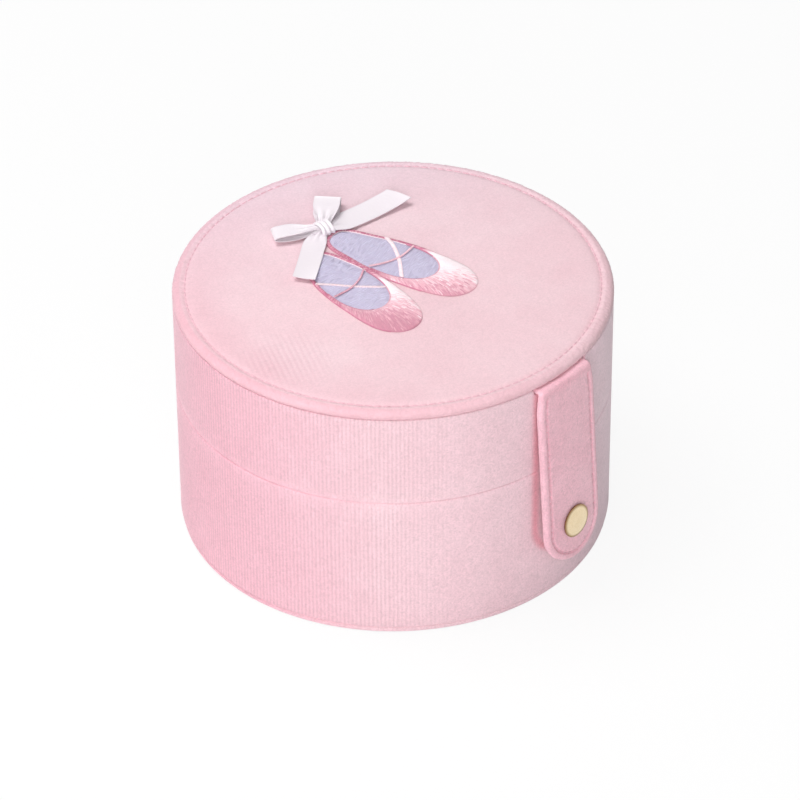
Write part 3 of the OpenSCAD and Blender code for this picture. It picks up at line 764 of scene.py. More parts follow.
mirror_silver, tree, shader = new_material("mirror_silver", Metallic=1.0)
dust = grains(tree, on_object(tree), 260.0, 5.0, Roughness=0.75)
wire(tree, shader, Roughness=spread(tree, dust, 0.015, 0.09, from_min=0.6, from_max=0.8),
     Base_Color=mixed(tree, dust, srgb(236, 242, 240), srgb(244, 247, 246)))

# %% [markdown]
# Satin ribbon is woven with long floats across, so fine lines run over its width, and its gloss is soft. The
# weave needs a direction on the cloth, so each ribbon carries a UV map: U across and V along, in millimetres.
# Its selvages are a little darker.

# %% Satin
RIBBON_W = 10 * MM
SATIN, SATIN_SHADE = srgb(236, 230, 234), srgb(223, 213, 220)

white_satin, tree, shader = new_material(
    "white_satin", Specular_IOR_Level=0.45, Sheen_Weight=0.15, Sheen_Roughness=0.3)
cloth = node(tree, "ShaderNodeUVMap", uv_map="Cloth").outputs["UV"]
floats = grains(tree, stretched(tree, cloth, Scale=(0.25, 7.0, 1.0)), 1.0, 3.0)
u_mm = node(tree, "ShaderNodeSeparateXYZ", {0: cloth}).outputs["X"]
from_middle = calc(tree, "ABSOLUTE", calc(tree, "SUBTRACT", u_mm, RIBBON_W / MM / 2))
selvage = spread(tree, from_middle, to_max=0.5, from_min=4.3, from_max=4.6)
wire(tree, shader, Roughness=spread(tree, floats, 0.32, 0.52), Normal=bumped(tree, 0.3, 0.03 * MM, floats),
     Base_Color=mixed(tree, selvage, mixed(tree, floats, SATIN_SHADE, SATIN), SATIN_SHADE))

# %% [markdown]
# Sewing and embroidery thread is plied, which shows as a fine twist along it. Its colour comes from the
# attribute Thread, so one material serves every shade.

# %% Thread
SEWING_PINK = srgb(222, 176, 188)

embroidery, tree, shader = new_material(
    "embroidery", Specular_IOR_Level=0.4, Sheen_Weight=0.2, Sheen_Roughness=0.35)
dye = node(tree, "ShaderNodeVertexColor", layer_name="Thread").outputs["Color"]
twist = grains(tree, on_object(tree), 3200.0, 2.0)
wire(tree, shader, Base_Color=vector_calc(tree, "SCALE", dye, Scale=spread(tree, twist, 0.86, 1.12)),
     Roughness=spread(tree, twist, 0.4, 0.65), Normal=bumped(tree, 0.4, 0.05 * MM, twist))


def sewn(name, length, thick, places):
    """A row of sewing thread in the same pink all along."""
    piece = lay_threads(name, length, thick, places)
    paint(piece, SEWING_PINK)
    piece.data.materials.append(embroidery)
    return piece


# %% [markdown]
# ## The velvet walls
# Each wall is one strip of ribbed velvet, glued round the board, folded over the rim and down the inside.
# The outline is turned in enough steps to carry the ribs, which are then pressed into the outer face by
# moving its vertices in and out with the angle. A texture could fake the ribs, but then the wall's edge
# against the light would be a perfect line. The velvet's fold over the base's rim is fuller than the lid's,
# which is drawn tight. The depth of the ribs also gives painted shade in their grooves, and the base's fold
# carries a painted highlight.

# %% Ribbed walls
RIB_PITCH = 1.4 * MM
RIB_COUNT = round(2 * math.pi * CASE_R / RIB_PITCH)
STEPS_PER_RIB = 6
RIB_DEPTH = 0.07 * MM
RIB_LEAST = 0.07
BASE_FOLD, LID_FOLD = 0.9 * MM, 0.35 * MM


def wall_outline(height, fold):
    """Outline of a covered wall that stands on 0 with its folded rim on top."""
    glued_r = CASE_R - VELVET_T
    inner_r = BOARD_IN_R - VELVET_T
    edge = 0.5 * MM
    points = [(glued_r, 0)]
    points += arc(CASE_R - edge, edge, edge, -90, 0, 4)
    points += between_points((CASE_R, 2 * MM), (CASE_R, height - fold), 10)
    points += arc(CASE_R - fold, height - fold, fold, 0, 90, 6)
    points += arc(inner_r + fold, height - fold, fold, 90, 180, 6)
    points += between_points((inner_r, height - 2 * MM), (inner_r, height - TURN_IN), 2)
    points += [(inner_r, height - TURN_IN), (BOARD_IN_R, height - TURN_IN), (BOARD_IN_R, height - fold)]
    return points + [(glued_r, height - fold), (glued_r, 0)]


def lit_side_facing(angle):
    """1 where the wall faces the side that the lamps light most, and -1 on the other side."""
    return np.cos(angle) * LIT_SIDE_WAY[0] + np.sin(angle) * LIT_SIDE_WAY[1]


def press_ribs(piece, seed, fold_highlight=0.0):
    """Presses ribs into the outer face and keeps their depth for painted groove shade; the last argument is a
    painted highlight on the fold on top.
    """
    co = vertices(piece)
    radius, angle = polar(co)
    phase = np.random.default_rng(seed).uniform(0, 2 * np.pi, 3)
    wander = 0.5 * np.sin(3 * angle + phase[0]) + 0.3 * np.sin(11 * angle + phase[1])
    shown = RIB_LEAST + (1 - RIB_LEAST) * ease(rise(lit_side_facing(angle), 0.08, 0.5))
    depth = RIB_DEPTH * (1 + 0.35 * np.sin(7 * angle + phase[2])) * shown
    outer = rise(radius, CASE_R - 0.6 * MM, 0.4 * MM)
    wave = 0.5 - 0.5 * np.cos(RIB_COUNT * angle + wander)
    co[:, :2] *= ((radius - 2 * outer * depth * wave) / radius)[:, None]
    move_vertices(piece, co)
    # Groove depth for painted shade, less a painted highlight along the fold on top.
    on_fold = bell(co[:, 2].max() - co[:, 2], 0.8 * MM)
    mark(piece, "GrooveShadeFoldLight", outer * wave * shown * (1 - on_fold) - fold_highlight * on_fold)


base_wall = turned("base_velvet", wall_outline(BASE_Z1 - BASE_Z0, BASE_FOLD), RIB_COUNT * STEPS_PER_RIB)
press_ribs(base_wall, seed=1, fold_highlight=0.6)
base_wall.location.z = BASE_Z0
close(base_wall)
dress(base_wall, wall_velvet, "pink_velvet", "base", "base_wall_velvet")
print("base wall", triangles(base_wall), "triangles,", RIB_COUNT, "ribs")

# %% [markdown]
# The lid's wall is the same, turned over: its folded rim is at the bottom. Where the strap's tongue goes in
# under the disc, the top of the wall is pressed down to let it through.

# %% The lid's wall
lid_wall = turned("lid_velvet", wall_outline(LID_Z1 - LID_Z0, LID_FOLD), RIB_COUNT * STEPS_PER_RIB)
press_ribs(lid_wall, seed=2)
co = vertices(lid_wall)
co[:, 2] = LID_Z1 - co[:, 2]
near_tongue = rise(TONGUE_HALF_W + 0.5 * MM - np.abs(co[:, 0]), 0, 0.4 * MM) * (co[:, 1] < 0)
headroom = TONGUE_Z - 0.2 * MM
co[:, 2] += near_tongue * np.minimum(headroom - co[:, 2], 0)
move_vertices(lid_wall, co)
edit_all(lid_wall, (bpy.ops.mesh.flip_normals, {}))
close(lid_wall)
dress(lid_wall, wall_velvet, "pink_velvet", "lid", "lid_wall_velvet")

# %% [markdown]
# ## The lid's padded disc
# The disc is board, a skin of foam and velvet, topstitched through all three close to its edge. The stitch
# line sinks, so the velvet swells a little on both sides of it, and the edge outside it rolls over like a
# cord. It is turned with those hollows in its outline, and then each needle hole is pressed a little deeper.

# %% The lid disc
STITCH_R = 70.7 * MM
STITCH_PITCH = 3.0 * MM
STITCH_COUNT = round(2 * math.pi * STITCH_R / STITCH_PITCH)
SEAM_DEPTH = 0.42 * MM
HOLE_DEPTH = 0.16 * MM
RIM_SWELL_R = 72.6 * MM
DISC_STEPS = 1184
DISC_HEM = 12 * MM
# Radius and depth below the top, in mm, from the middle out across the seam.
DISC_TOP = [(flat_r, 0) for flat_r in (0.001, 8, 16, 24, 32, 40, 48, 55, 60, 64, 66.5)]
DISC_TOP += [(68.2, 0.03), (69.2, 0.1), (69.9, 0.24), (70.35, 0.37), (70.7, 0.42), (71.05, 0.36),
             (71.5, 0.22), (72.0, 0.11)]


def disc_outline():
    roll = (DISC_Z1 - DISC_Z0) / 2
    roll_w, roll_low = 3.6 * MM, 0.9 * MM
    shoulder = DISC_Z1 - DISC_Z0 - roll_low
    hem_r = CASE_R - DISC_HEM
    cloth = 0.7 * MM
    points = [(radius * MM, DISC_Z1 - depth * MM) for radius, depth in DISC_TOP]
    points += [(CASE_R - roll_w + roll_w * math.cos(t), DISC_Z0 + roll_low + shoulder * math.sin(t))
               for t in np.radians(np.linspace(74, 7, 11))]
    points += arc(CASE_R - roll_low, DISC_Z0 + roll_low, roll_low, 0, -90, 5)
    points += [(hem_r + 4 * MM, DISC_Z0), (hem_r, DISC_Z0), (hem_r, DISC_Z0 + cloth)]
    points += [(CASE_R - 2.2 * MM, DISC_Z0 + cloth)]
    points += arc(CASE_R - 2.0 * MM, DISC_Z0 + roll, roll - cloth, -60, 60, 5)
    points += [(72 * MM, DISC_Z1 - 1.1 * MM), (69 * MM, DISC_Z1 - 1.0 * MM)]
    return points + [(60 * MM, DISC_Z1 - cloth), (0.001 * MM, DISC_Z1 - cloth)]


lid_disc = turned("lid_disc", disc_outline(), DISC_STEPS)
co = vertices(lid_disc)
radius, angle = polar(co)
on_top = co[:, 2] > DISC_Z1 - 0.65 * MM
holes = 0.5 + 0.5 * np.cos(STITCH_COUNT * angle)
co[:, 2] -= bell(radius - STITCH_R, 0.8 * MM) * on_top * HOLE_DEPTH * holes ** 3
rim_swell = bell(radius - RIM_SWELL_R, 1.2 * MM) * on_top
co[:, 2] -= rim_swell * 0.07 * MM * (holes + 0.6 * np.sin(23 * angle + 0.7) ** 2)
slack = 0.10 * np.sin(2 * angle + 0.4) * (radius / CASE_R) ** 2
slack += 0.07 * np.sin(5 * angle + radius / (11 * MM))
field = rise(66 * MM - radius, 0, 20 * MM) * on_top
co[:, 2] -= field * (0.08 + np.clip(slack, -0.08, 0.12)) * MM
move_vertices(lid_disc, co)

# Crushed pile and painted shade: darker beside the stitch line, on the rolled rim and over the lit side of
# the lid.
left = np.clip(lit_side_facing(angle), 0, 1)
by_seam = 0.6 * bell(radius - STITCH_R, 1.1 * MM) * on_top * (0.5 + 0.5 * left)
on_rim = (0.25 + 0.3 * rise(lit_side_facing(angle), -0.6, 0.4) + 0.45 * left) * rise(radius, 71.6 * MM, 1.2 * MM)
on_left = 0.5 * left * rise(radius, 52 * MM, 14 * MM)
mark(lid_disc, "CrushShade", np.max([by_seam, on_rim, on_left], axis=0))
close(lid_disc)
nap(lid_disc, 0.15 * MM, 0.9 * MM, rise(radius, 69.4 * MM, 1.6 * MM))
dress(lid_disc, lid_velvet, "pink_velvet", "lid", "lid_disc_cover")
print("lid disc", triangles(lid_disc), "triangles,", STITCH_COUNT, "stitches")

# %% [markdown]
# ## The foot disc
# The disc that the case stands on is thinner and has no padding, but it is wrapped in the same velvet, so its
# edge rolls over too and shows as a thin lip under the wall.

# %% The foot disc
FOOT_R = foot_high.x
FOOT_T = foot_high.z - foot_low.z
FOOT_CLOTH = 0.6 * MM
FOOT_HEM = 12 * MM

foot_roll = FOOT_T / 2
outline = [(r * MM, 0) for r in (0.001, 20, 40, 60)]
outline += arc(FOOT_R - foot_roll, foot_roll, foot_roll, -90, 90, 11)
outline += [(FOOT_R - FOOT_HEM, FOOT_T), (FOOT_R - FOOT_HEM, FOOT_T - FOOT_CLOTH)]
outline += arc(FOOT_R - foot_roll, foot_roll, foot_roll - FOOT_CLOTH, 70, -70, 5)
outline += [(40 * MM, FOOT_CLOTH), (0.001 * MM, FOOT_CLOTH)]
foot = close(turned("foot_disc", outline, 360))
dress(foot, wall_velvet, "pink_velvet", "base", "foot_cover")

# %% [markdown]
# ## Light and floor
# Two large soft lamps do most of the work: one overhead for the lid, and one low on the camera's left for
# the front of the wall. A weaker one rounds off the left side, and a small one behind gives the velvet's
# edges and the bow short soft shadows towards the camera. The right side is left to the pale room, so the
# case turns away into shade there, and a low lamp at the far right keeps the side and the back from going
# dull.

# %% Lamps
CASE_MIDDLE = Vector((0, 0, 0.06))
# The size of each lamp in metres, its power in watts and its place.
LAMPS = {
    "top": (0.7, 6.8, (-0.2, 0.25, 1.05)),
    "camera_side": (0.7, 7.9, (-0.75, -0.68, 0.6)),
    "left": (0.7, 1.7, (-1.0, 0.25, 0.5)),
    "key": (0.55, 1.1, (-0.28, 0.42, 0.95)),
    "far_side": (0.3, 2.4, (0.72, 0.85, 0.17)),
}
for name, (size, power, spot) in LAMPS.items():
    light = bpy.data.lights.new(name, "AREA")
    light.shape = "DISK"
    light.size = size
    light.energy = power
    lamp = bpy.data.objects.new(name, light)
    bpy.context.collection.objects.link(lamp)
    lamp.location = spot
    lamp.rotation_euler = (CASE_MIDDLE - Vector(spot)).to_track_quat("-Z", "Y").to_euler()

# %% [markdown]
# The world is the room's even light. Rays from the camera, from reflections and through glass see the world
# and the floor as white instead, through Light Path, but both light the case only at a plain level.

# %% World and floor
ROOM_LEVEL = 0.17
GLOW_SHARE = 0.9


def seen_directly(tree):
    """1 for rays from the camera, from reflections and through glass."""
    rays = node(tree, "ShaderNodeLightPath").outputs
    seen = calc(tree, "ADD", rays["Is Camera Ray"], rays["Is Glossy Ray"])
    return calc(tree, "ADD", seen, rays["Is Transmission Ray"], clamp=True)


world = bpy.data.worlds.new("room")
bpy.context.scene.world = world
world.use_nodes = True
room = world.node_tree
background = room.nodes["Background"]
background.inputs["Color"].default_value = (1.0, 0.985, 0.99, 1)
room.links.new(spread(room, seen_directly(room), ROOM_LEVEL, 1.0), background.inputs["Strength"])

floor = start("floor", bpy.ops.mesh.primitive_plane_add, size=6)
edit_all(floor, (bpy.ops.mesh.subdivide, {"number_cuts": 3}))
floor.location.z = -0.05 * MM
close(floor)
floor_paint, tree, shader = new_material(
    "floor_paint", Base_Color=(0.86, 0.86, 0.86, 1), Roughness=0.9, Specular_IOR_Level=0.1)
glow = node(tree, "ShaderNodeEmission", {"Color": (1, 1, 1, 1), "Strength": 1.0}).outputs[0]
share = calc(tree, "MULTIPLY", seen_directly(tree), GLOW_SHARE)
surface = node(tree, "ShaderNodeMixShader", {0: share, 1: shader.outputs[0], 2: glow}).outputs[0]
tree.links.new(surface, tree.nodes["Material Output"].inputs["Surface"])
floor.data.materials.append(floor_paint)

# %% [markdown]
# ## Stitches on the lid
# The topstitch is made of short threads that dive into the velvet at each needle hole, in the hollow that the
# disc already has for them.

# %% Lid stitches
THREAD_T = 0.42 * MM
places = []
for k in range(STITCH_COUNT):
    turn = 2 * math.pi * (k + 0.5) / STITCH_COUNT
    out = Vector((math.cos(turn), math.sin(turn), 0))
    spot = out * STITCH_R + Vector((0, 0, DISC_Z1 - SEAM_DEPTH + 0.04 * MM))
    places.append((spot, (-out.y, out.x, 0), (0, 0, 1)))
lid_stitches = sewn("lid_stitches", 2.3 * MM, THREAD_T, places)
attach(lid_stitches, "lid")
print("lid stitches", len(places), triangles(lid_stitches), "triangles")

# %% [markdown]
# ## The strap
# The strap is velvet on both sides of a thin stiffener. It is bowed a little across its width, leans out
# over the snap, and its velvet is pulled down along a topstitch that follows its edge, so that a soft cord
# stands round it. It first needs a frame of its own: where a point of it, given across, along and through the
# strap, lies on the case, both where it hangs and where it turns in under the disc.

# %% The strap's own frame
STRAP_W = 27.5 * MM
STRAP_LEN = 71 * MM
STRAP_T = 2.8 * MM
STRAP_BOW_R = 110 * MM
STRAP_LEAN = math.radians(4.045)
HALF_W = STRAP_W / 2
HALF_T = STRAP_T / 2
ROUND_Z = -(STRAP_LEN - HALF_W)
BEND_RUN = HALF_T * math.pi / 2
TONGUE_RUN = BEND_RUN + (tongue_high.y - BEND.y)
LINING_TUCK = 0.45 * MM


def strap_spot(x, down, depth):
    """Where a point of the strap lies: across, up or down from the bend, and out from its inner face."""
    out = HALF_T + STRAP_BOW_R - np.sqrt((STRAP_BOW_R + depth) ** 2 - x ** 2)
    world_y = BEND.y + out * math.cos(STRAP_LEAN) + down * math.sin(STRAP_LEAN)
    world_z = BEND.z - out * math.sin(STRAP_LEAN) + down * math.cos(STRAP_LEAN)
    return x, world_y, world_z


def over_the_bend(x, run, share):
    """The same for the part past the bend, which turns in under the disc; share is 0 inside and 1 outside."""
    bow = x ** 2 / (2 * STRAP_BOW_R)
    turn = np.clip(run / BEND_RUN, 0, 1)
    angle = turn * math.pi / 2 - (1 - turn) * STRAP_LEAN
    straight = np.clip(run - BEND_RUN, 0, None)
    outer_y = -HALF_T * np.cos(angle) + straight
    outer_z = HALF_T * np.sin(angle) + (tongue_high.z - BEND.z - HALF_T) * turn
    inner_y, inner_z = HALF_T + straight, (tongue_low.z - BEND.z) * turn - LINING_TUCK * (1 - turn)
    y = inner_y + (outer_y - inner_y) * share
    z = inner_z + (outer_z - inner_z) * share
    return x, BEND.y + y + bow, BEND.z + z


# %% [markdown]
# A grid whose columns follow the outline, from the edge in to the middle, puts whole rows of faces along the
# stitch line. One such grid makes the front and another the back. The velvet sinks into the seam and at every
# needle hole, puckers beside it, and is pressed flat round the brass cap.

# %% The strap
INSETS = np.array([0, 0.06, 0.2, 0.42, 0.7, 1.0, 1.35, 1.7, 2.0, 2.25, 2.45, 2.62, 2.8, 2.98, 3.15, 3.4, 3.7,
                   4.1, 4.7, 5.5, 6.5, 7.7, 9.0, 10.5, 12.1, 13.75]) * MM
SIDE_ROWS, ROUND_ROWS, TOP_ROWS = 120, 64, 14
STITCH_IN = 2.8 * MM
STRAP_PITCH = 2.9 * MM
STRAP_STITCHES = 2 * 22 + 16
CAP_DROP = 56 * MM
CAP_R = 6 * MM


def strap_outline():
    """Up and down the straight sides and round the end: for each step a side, a height and an angle."""
    tops = [TONGUE_RUN * (1 - k / TOP_ROWS) for k in range(TOP_ROWS)]
    downs = [ROUND_Z * k / SIDE_ROWS for k in range(SIDE_ROWS)]
    steps = [(-1, run, 0) for run in tops + downs]
    steps += [(0, ROUND_Z, math.pi * k / ROUND_ROWS) for k in range(ROUND_ROWS + 1)]
    return np.array(steps + [(1, run, 0) for run in reversed(tops + downs)])


edge_steps = strap_outline()


def strap_face(front):
    crush_shade = []

    def place(column, row):
        side, height, angle = edge_steps[row].T
        inset = INSETS[column]
        radius = HALF_W - inset
        x = np.where(side == 0, -np.cos(angle) * radius, side * radius)
        x = x * (1 + (TONGUE_HALF_W / HALF_W - 1) * ease((height + 7 * MM) / (9 * MM)))
        z = np.where(side == 0, ROUND_Z - np.sin(angle) * radius, height)
        full = np.minimum(round_edge(inset, HALF_T), round_edge(TONGUE_RUN - z, 0.7 * MM))

        along = np.where(side == 0, angle * HALF_W, side * z)
        hole = 0.5 + 0.5 * np.cos(2 * np.pi * along / STRAP_PITCH)
        groove = bell(inset - STITCH_IN, 0.5 * MM) * rise(-z, 0.5 * MM, 2 * MM)
        beside = bell(inset - 1.7 * MM, 0.7 * MM) + bell(inset - 4.1 * MM, 0.9 * MM)
        pucker = beside * hole ** 2 * rise(-z, 1.5 * MM, 2 * MM)
        field = rise(inset, STITCH_IN, 2.5 * MM) * rise(-z, -1 * MM, 4 * MM)
        ripple = 0.05 * np.sin(z / (5 * MM) + x / (9 * MM)) + 0.04 * np.sin(z / (2.3 * MM) - x / (3.1 * MM))
        pressed = np.exp(-np.clip(np.hypot(x, z + CAP_DROP) - CAP_R, 0, None) / (1.8 * MM))
        sink = groove * (0.45 + 0.3 * hole ** 2) + pucker * 0.13 + field * (0.2 + ripple) + pressed * 0.12

        if front:
            depth = HALF_T + full * (HALF_T - 0.06 * MM - sink * MM)
        else:
            depth = HALF_T - full * (HALF_T - 0.35 * groove * MM - 0.08 * MM)
        hanging = strap_spot(x, np.minimum(z, 0 if front else -LINING_TUCK), depth)
        bent = over_the_bend(x, np.clip(z, 0, None), 0.5 + (0.5 if front else -0.5) * full)
        # Painted shade along the stitch groove and where the strap turns in under the disc.
        crush_shade.append(groove + 0.35 * rise(z, -3 * MM, 3 * MM))
        return np.where(z > 0, bent, hanging)

    piece = mapped_grid("strap", len(INSETS) - 1, len(edge_steps) - 1, place)
    mark(piece, "CrushShade", crush_shade[0])
    return piece


strap = join("strap", [strap_face(front=True), strap_face(front=False)])
weld(strap, 0.01 * MM)
fill_holes(strap, most_sides=4)
close(strap, angle=60)
nap(strap, 0.1 * MM, 0.8 * MM)
strap.data.materials.append(strap_velvet)
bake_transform(strap)
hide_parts("strap_face", "strap_lining", "strap_tongue")
print("strap", triangles(strap), "triangles")

# %% [markdown]
# The strap's stitches lie in the same groove, on both sides, as a locked seam's do.

# %% Strap stitches
SEAM_TOP = -2.6 * MM


def strap_seam_points(count):
    """Even points along the stitch line, from the top of one side round the end to the top of the other."""
    radius = HALF_W - STITCH_IN
    straight = SEAM_TOP - ROUND_Z
    round_run = math.pi * radius
    points = []
    for k in range(count + 1):
        run = (2 * straight + round_run) * k / count
        if run < straight:
            points.append((-radius, SEAM_TOP - run))
        elif run < straight + round_run:
            angle = (run - straight) / radius
            points.append((-radius * math.cos(angle), ROUND_Z - radius * math.sin(angle)))
        else:
            points.append((radius, ROUND_Z + run - straight - round_run))
    return points


seam = strap_seam_points(STRAP_STITCHES)
places = []
for start_xz, end_xz in zip(seam[:-1], seam[1:]):
    for depth, outward in ((STRAP_T - 0.5 * MM, -1), (0.34 * MM, 1)):
        a, b = (Vector(strap_spot(*xz, depth)) for xz in (start_xz, end_xz))
        places.append(((a + b) / 2, (b - a).normalized(), (0, outward, 0)))
strap_stitches = sewn("strap_stitches", 2.2 * MM, THREAD_T, places)
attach(strap_stitches, "strap")
print("strap stitches", len(places))

# %% [markdown]
# ## The cloth hinge
# The lid turns on a velvet patch sewn over the seam at the back, with a suede strip behind it on the inside.
# Each is one cloth that has to bend with the lid, so it is one piece here too, with many rows at the seam.
# The shape is a soft slab wrapped on the wall's curve.

# %% Curved patches
PATCH_COLUMNS, PATCH_ROWS = 64, 84
PATCH_STITCH_IN = 2.6 * MM
PATCH_CORNER = 5 * MM
PATCH_IN_R, PATCH_OUT_R = CASE_R + 0.1 * MM, CASE_R + 1.1 * MM
STRIP_IN_R, STRIP_OUT_R = 69.3 * MM, 70.1 * MM


def wrapped_patch(name, width, low, high, inner_r, outer_r, corner, soft, seam_dent):
    """A patch on the back of the case, between two heights, with round corners and soft edges."""
    middle, half = (low + high) / 2, (high - low) / 2

    def side(sign):
        def place(column, row):
            u = np.sin(np.pi / 2 * (2 * column / PATCH_COLUMNS - 1))
            v = 2 * row / PATCH_ROWS - 1
            v = np.sign(v) * (0.25 * np.abs(v) + 0.75 * np.sin(np.pi / 2 * np.abs(v)))
            z = middle + v * half
            from_end = half - np.abs(z - middle)
            cut = np.clip(corner - from_end, 0, corner)
            half_w = width / 2 - (corner - np.sqrt(np.clip(corner ** 2 - cut ** 2, 0, None)))
            x = u * half_w
            edge = np.minimum(half_w - np.abs(x), from_end)
            groove = bell(edge - PATCH_STITCH_IN, 0.5 * MM) * 0.3 * MM * (seam_dent > 0)
            dent = seam_dent * bell(z - middle, 0.9 * MM)
            swell = (outer_r - inner_r) / 2 - (groove + dent) * (sign > 0)
            radius = (inner_r + outer_r) / 2 + sign * round_edge(edge, soft) * swell
            angle = x / outer_r
            return radius * np.sin(angle), radius * np.cos(angle), z

        return mapped_grid(name, PATCH_COLUMNS, PATCH_ROWS, place)

    piece = join(name, [side(1), side(-1)])
    weld(piece)
    return close(piece, angle=60)


def back_size(lower, upper):
    """The width, lowest and highest point of the cloth that two frame pieces make together."""
    return 2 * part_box(lower)[1].x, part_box(lower)[0].z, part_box(upper)[1].z


patch_w, patch_low, patch_high = back_size("hinge_patch_base", "hinge_patch_lid")
hinge_patch = wrapped_patch("hinge_patch", patch_w, patch_low, patch_high, PATCH_IN_R, PATCH_OUT_R,
                            PATCH_CORNER, 0.5 * MM, 0.25 * MM)
strip_w, strip_low, strip_high = back_size("hinge_strip_base", "hinge_strip_lid")
hinge_strip = wrapped_patch("hinge_strip", strip_w, strip_low, strip_high, STRIP_IN_R, STRIP_OUT_R,
                            2.5 * MM, 0.4 * MM, 0)
for piece, finish, slot, leaf in ((hinge_patch, wall_velvet, "pink_velvet", "hinge_patch"),
                                  (hinge_strip, pale_suede, "pale_suede", "hinge_strip")):
    piece.data.materials.append(finish)
    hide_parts(leaf + "_base", leaf + "_lid")

# %% [markdown]
# The patch is sewn down all round. Its seam is drawn flat, as a rectangle with round corners, cut into even
# stitches and wrapped on the wall.

# %% Patch stitches
CORNER_STEPS = 4


def patch_spot(x, z):
    angle = x / PATCH_OUT_R
    sewn_r = CASE_R + 0.85 * MM
    return Vector((sewn_r * math.sin(angle), sewn_r * math.cos(angle), HINGE.z + z))


turn_r = PATCH_CORNER - PATCH_STITCH_IN
straight_x = patch_w / 2 - PATCH_STITCH_IN - turn_r
straight_z = (patch_high - patch_low) / 2 - PATCH_STITCH_IN - turn_r
corners = []
for sx, sz, first in ((1, 1, 0), (-1, 1, 90), (-1, -1, 180), (1, -1, 270)):
    for step in range(CORNER_STEPS + 1):
        turn = math.radians(first + 90 * step / CORNER_STEPS)
        corners.append((sx * straight_x + turn_r * math.cos(turn), sz * straight_z + turn_r * math.sin(turn)))
rectangle = np.array(corners + corners[:1])
patch_seam = cut_even(rectangle, round(running_length(rectangle)[-1] / STRAP_PITCH))
places = []
for (x0, z0), (x1, z1) in zip(patch_seam[:-1], patch_seam[1:]):
    a, b = patch_spot(x0, z0), patch_spot(x1, z1)
    places.append(((a + b) / 2, (b - a).normalized(), (math.sin(x0 / CASE_R), math.cos(x0 / CASE_R), 0)))
patch_stitches = sewn("patch_stitches", 2.2 * MM, 0.4 * MM, places)
for piece in (hinge_patch, hinge_strip, patch_stitches):
    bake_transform(piece)
print("hinge patch", triangles(hinge_patch), "triangles,", len(places), "stitches")

# %% [markdown]
# ## Linings and pads
# Inside, everything is covered in pale suede. The linings are turned, with soft edges, and the glue leaves
# them a little wavy.

# %% Linings
LINING_T = 1.2 * MM
LINING_EDGE = 0.5 * MM
SLACK = 0.04 * MM
CENTRE_R = 0.001 * MM
LINING_STEPS, PAD_STEPS = 192, 160


def lining(name, low, high):
    """A turned lining of suede, glued on the inside of a wall."""
    outer, inner = high.x, high.x - LINING_T
    outline = [(outer, low.z)]
    outline += arc(inner + LINING_EDGE, low.z + LINING_EDGE, LINING_EDGE, 270, 180, 5)
    outline += between_points((inner, low.z + 2 * LINING_EDGE), (inner, high.z - LINING_EDGE), 12)
    outline += arc(inner + LINING_EDGE, high.z - LINING_EDGE, LINING_EDGE, 180, 90, 5)
    piece = turned(name, outline + [(outer, high.z), (outer, low.z)], LINING_STEPS)
    co = vertices(piece)
    radius, angle = polar(co)
    wave = SLACK * np.sin(5 * angle + co[:, 2] / (7 * MM)) * (radius < outer - LINING_T / 2)
    co[:, :2] *= (1 - (SLACK + wave) / radius * 0.5)[:, None]
    move_vertices(piece, co)
    return close(piece)


for name, body, cad in (("base_lining", "base", "base_liner"), ("lid_lining", "lid", "lid_liner")):
    dress(lining(name, *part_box(cad)), pale_suede, "pale_suede", body, cad)

# %% [markdown]
# The headliner is a suede disc under the top of the lid. A thin padding lets it swell round the mirror's
# frame, so its outline dips at the frame and again at the wall.

# %% Headliner and mirror frame
head_low, head_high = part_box("lid_headliner")
frame_low, frame_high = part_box("mirror_frame")
FRAME_R = frame_high.x
FRAME_IN_R = 48.5 * MM
GLASS_R = 50.1 * MM
FRAME_EDGE = 1.2 * MM
INSIDE_R = 70.2 * MM
HEAD_SWELL = 0.5 * MM

outline = [(CENTRE_R, head_high.z), (head_high.x, head_high.z), (head_high.x, head_low.z)]
outline += [(INSIDE_R, head_low.z)]
for k in range(1, 14):
    share = k / 14
    lift = HEAD_SWELL * math.sin(math.pi * share) ** 0.7
    outline.append((INSIDE_R + (FRAME_R - INSIDE_R) * share, head_low.z - lift))
outline += [(FRAME_R, head_low.z), (30 * MM, head_low.z), (CENTRE_R, head_low.z)]
headliner = close(turned("headliner", outline, LINING_STEPS))
dress(headliner, pale_suede, "pale_suede", "lid", "lid_headliner")

lip_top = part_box("mirror_glass")[0].z
outline = [(GLASS_R, frame_high.z), (FRAME_R - 0.2 * MM, frame_high.z)]
outline += arc(FRAME_R - FRAME_EDGE, frame_low.z + FRAME_EDGE, FRAME_EDGE, 0, -90, 8)
outline += [(52 * MM, frame_low.z), (50.5 * MM, frame_low.z + 0.03 * MM)]
outline += arc(FRAME_IN_R + 0.45 * MM, frame_low.z + 0.4 * MM, 0.35 * MM, -90, -200, 6)
outline += [(GLASS_R, lip_top - 0.06 * MM), (GLASS_R, frame_high.z)]
mirror_frame = close(turned("mirror_frame_suede", outline, LINING_STEPS))
dress(mirror_frame, pale_suede, "pale_suede", "lid", "mirror_frame")

# %% [markdown]
# The floor of the base is a thin foam pad under suede, which swells a little in each of the four
# compartments.

# %% Floor pad
pad_low, pad_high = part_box("base_floor_pad")
PAD_R = pad_high.x
PAD_EDGE = 0.7 * MM
PAD_SWELL = 0.55 * MM

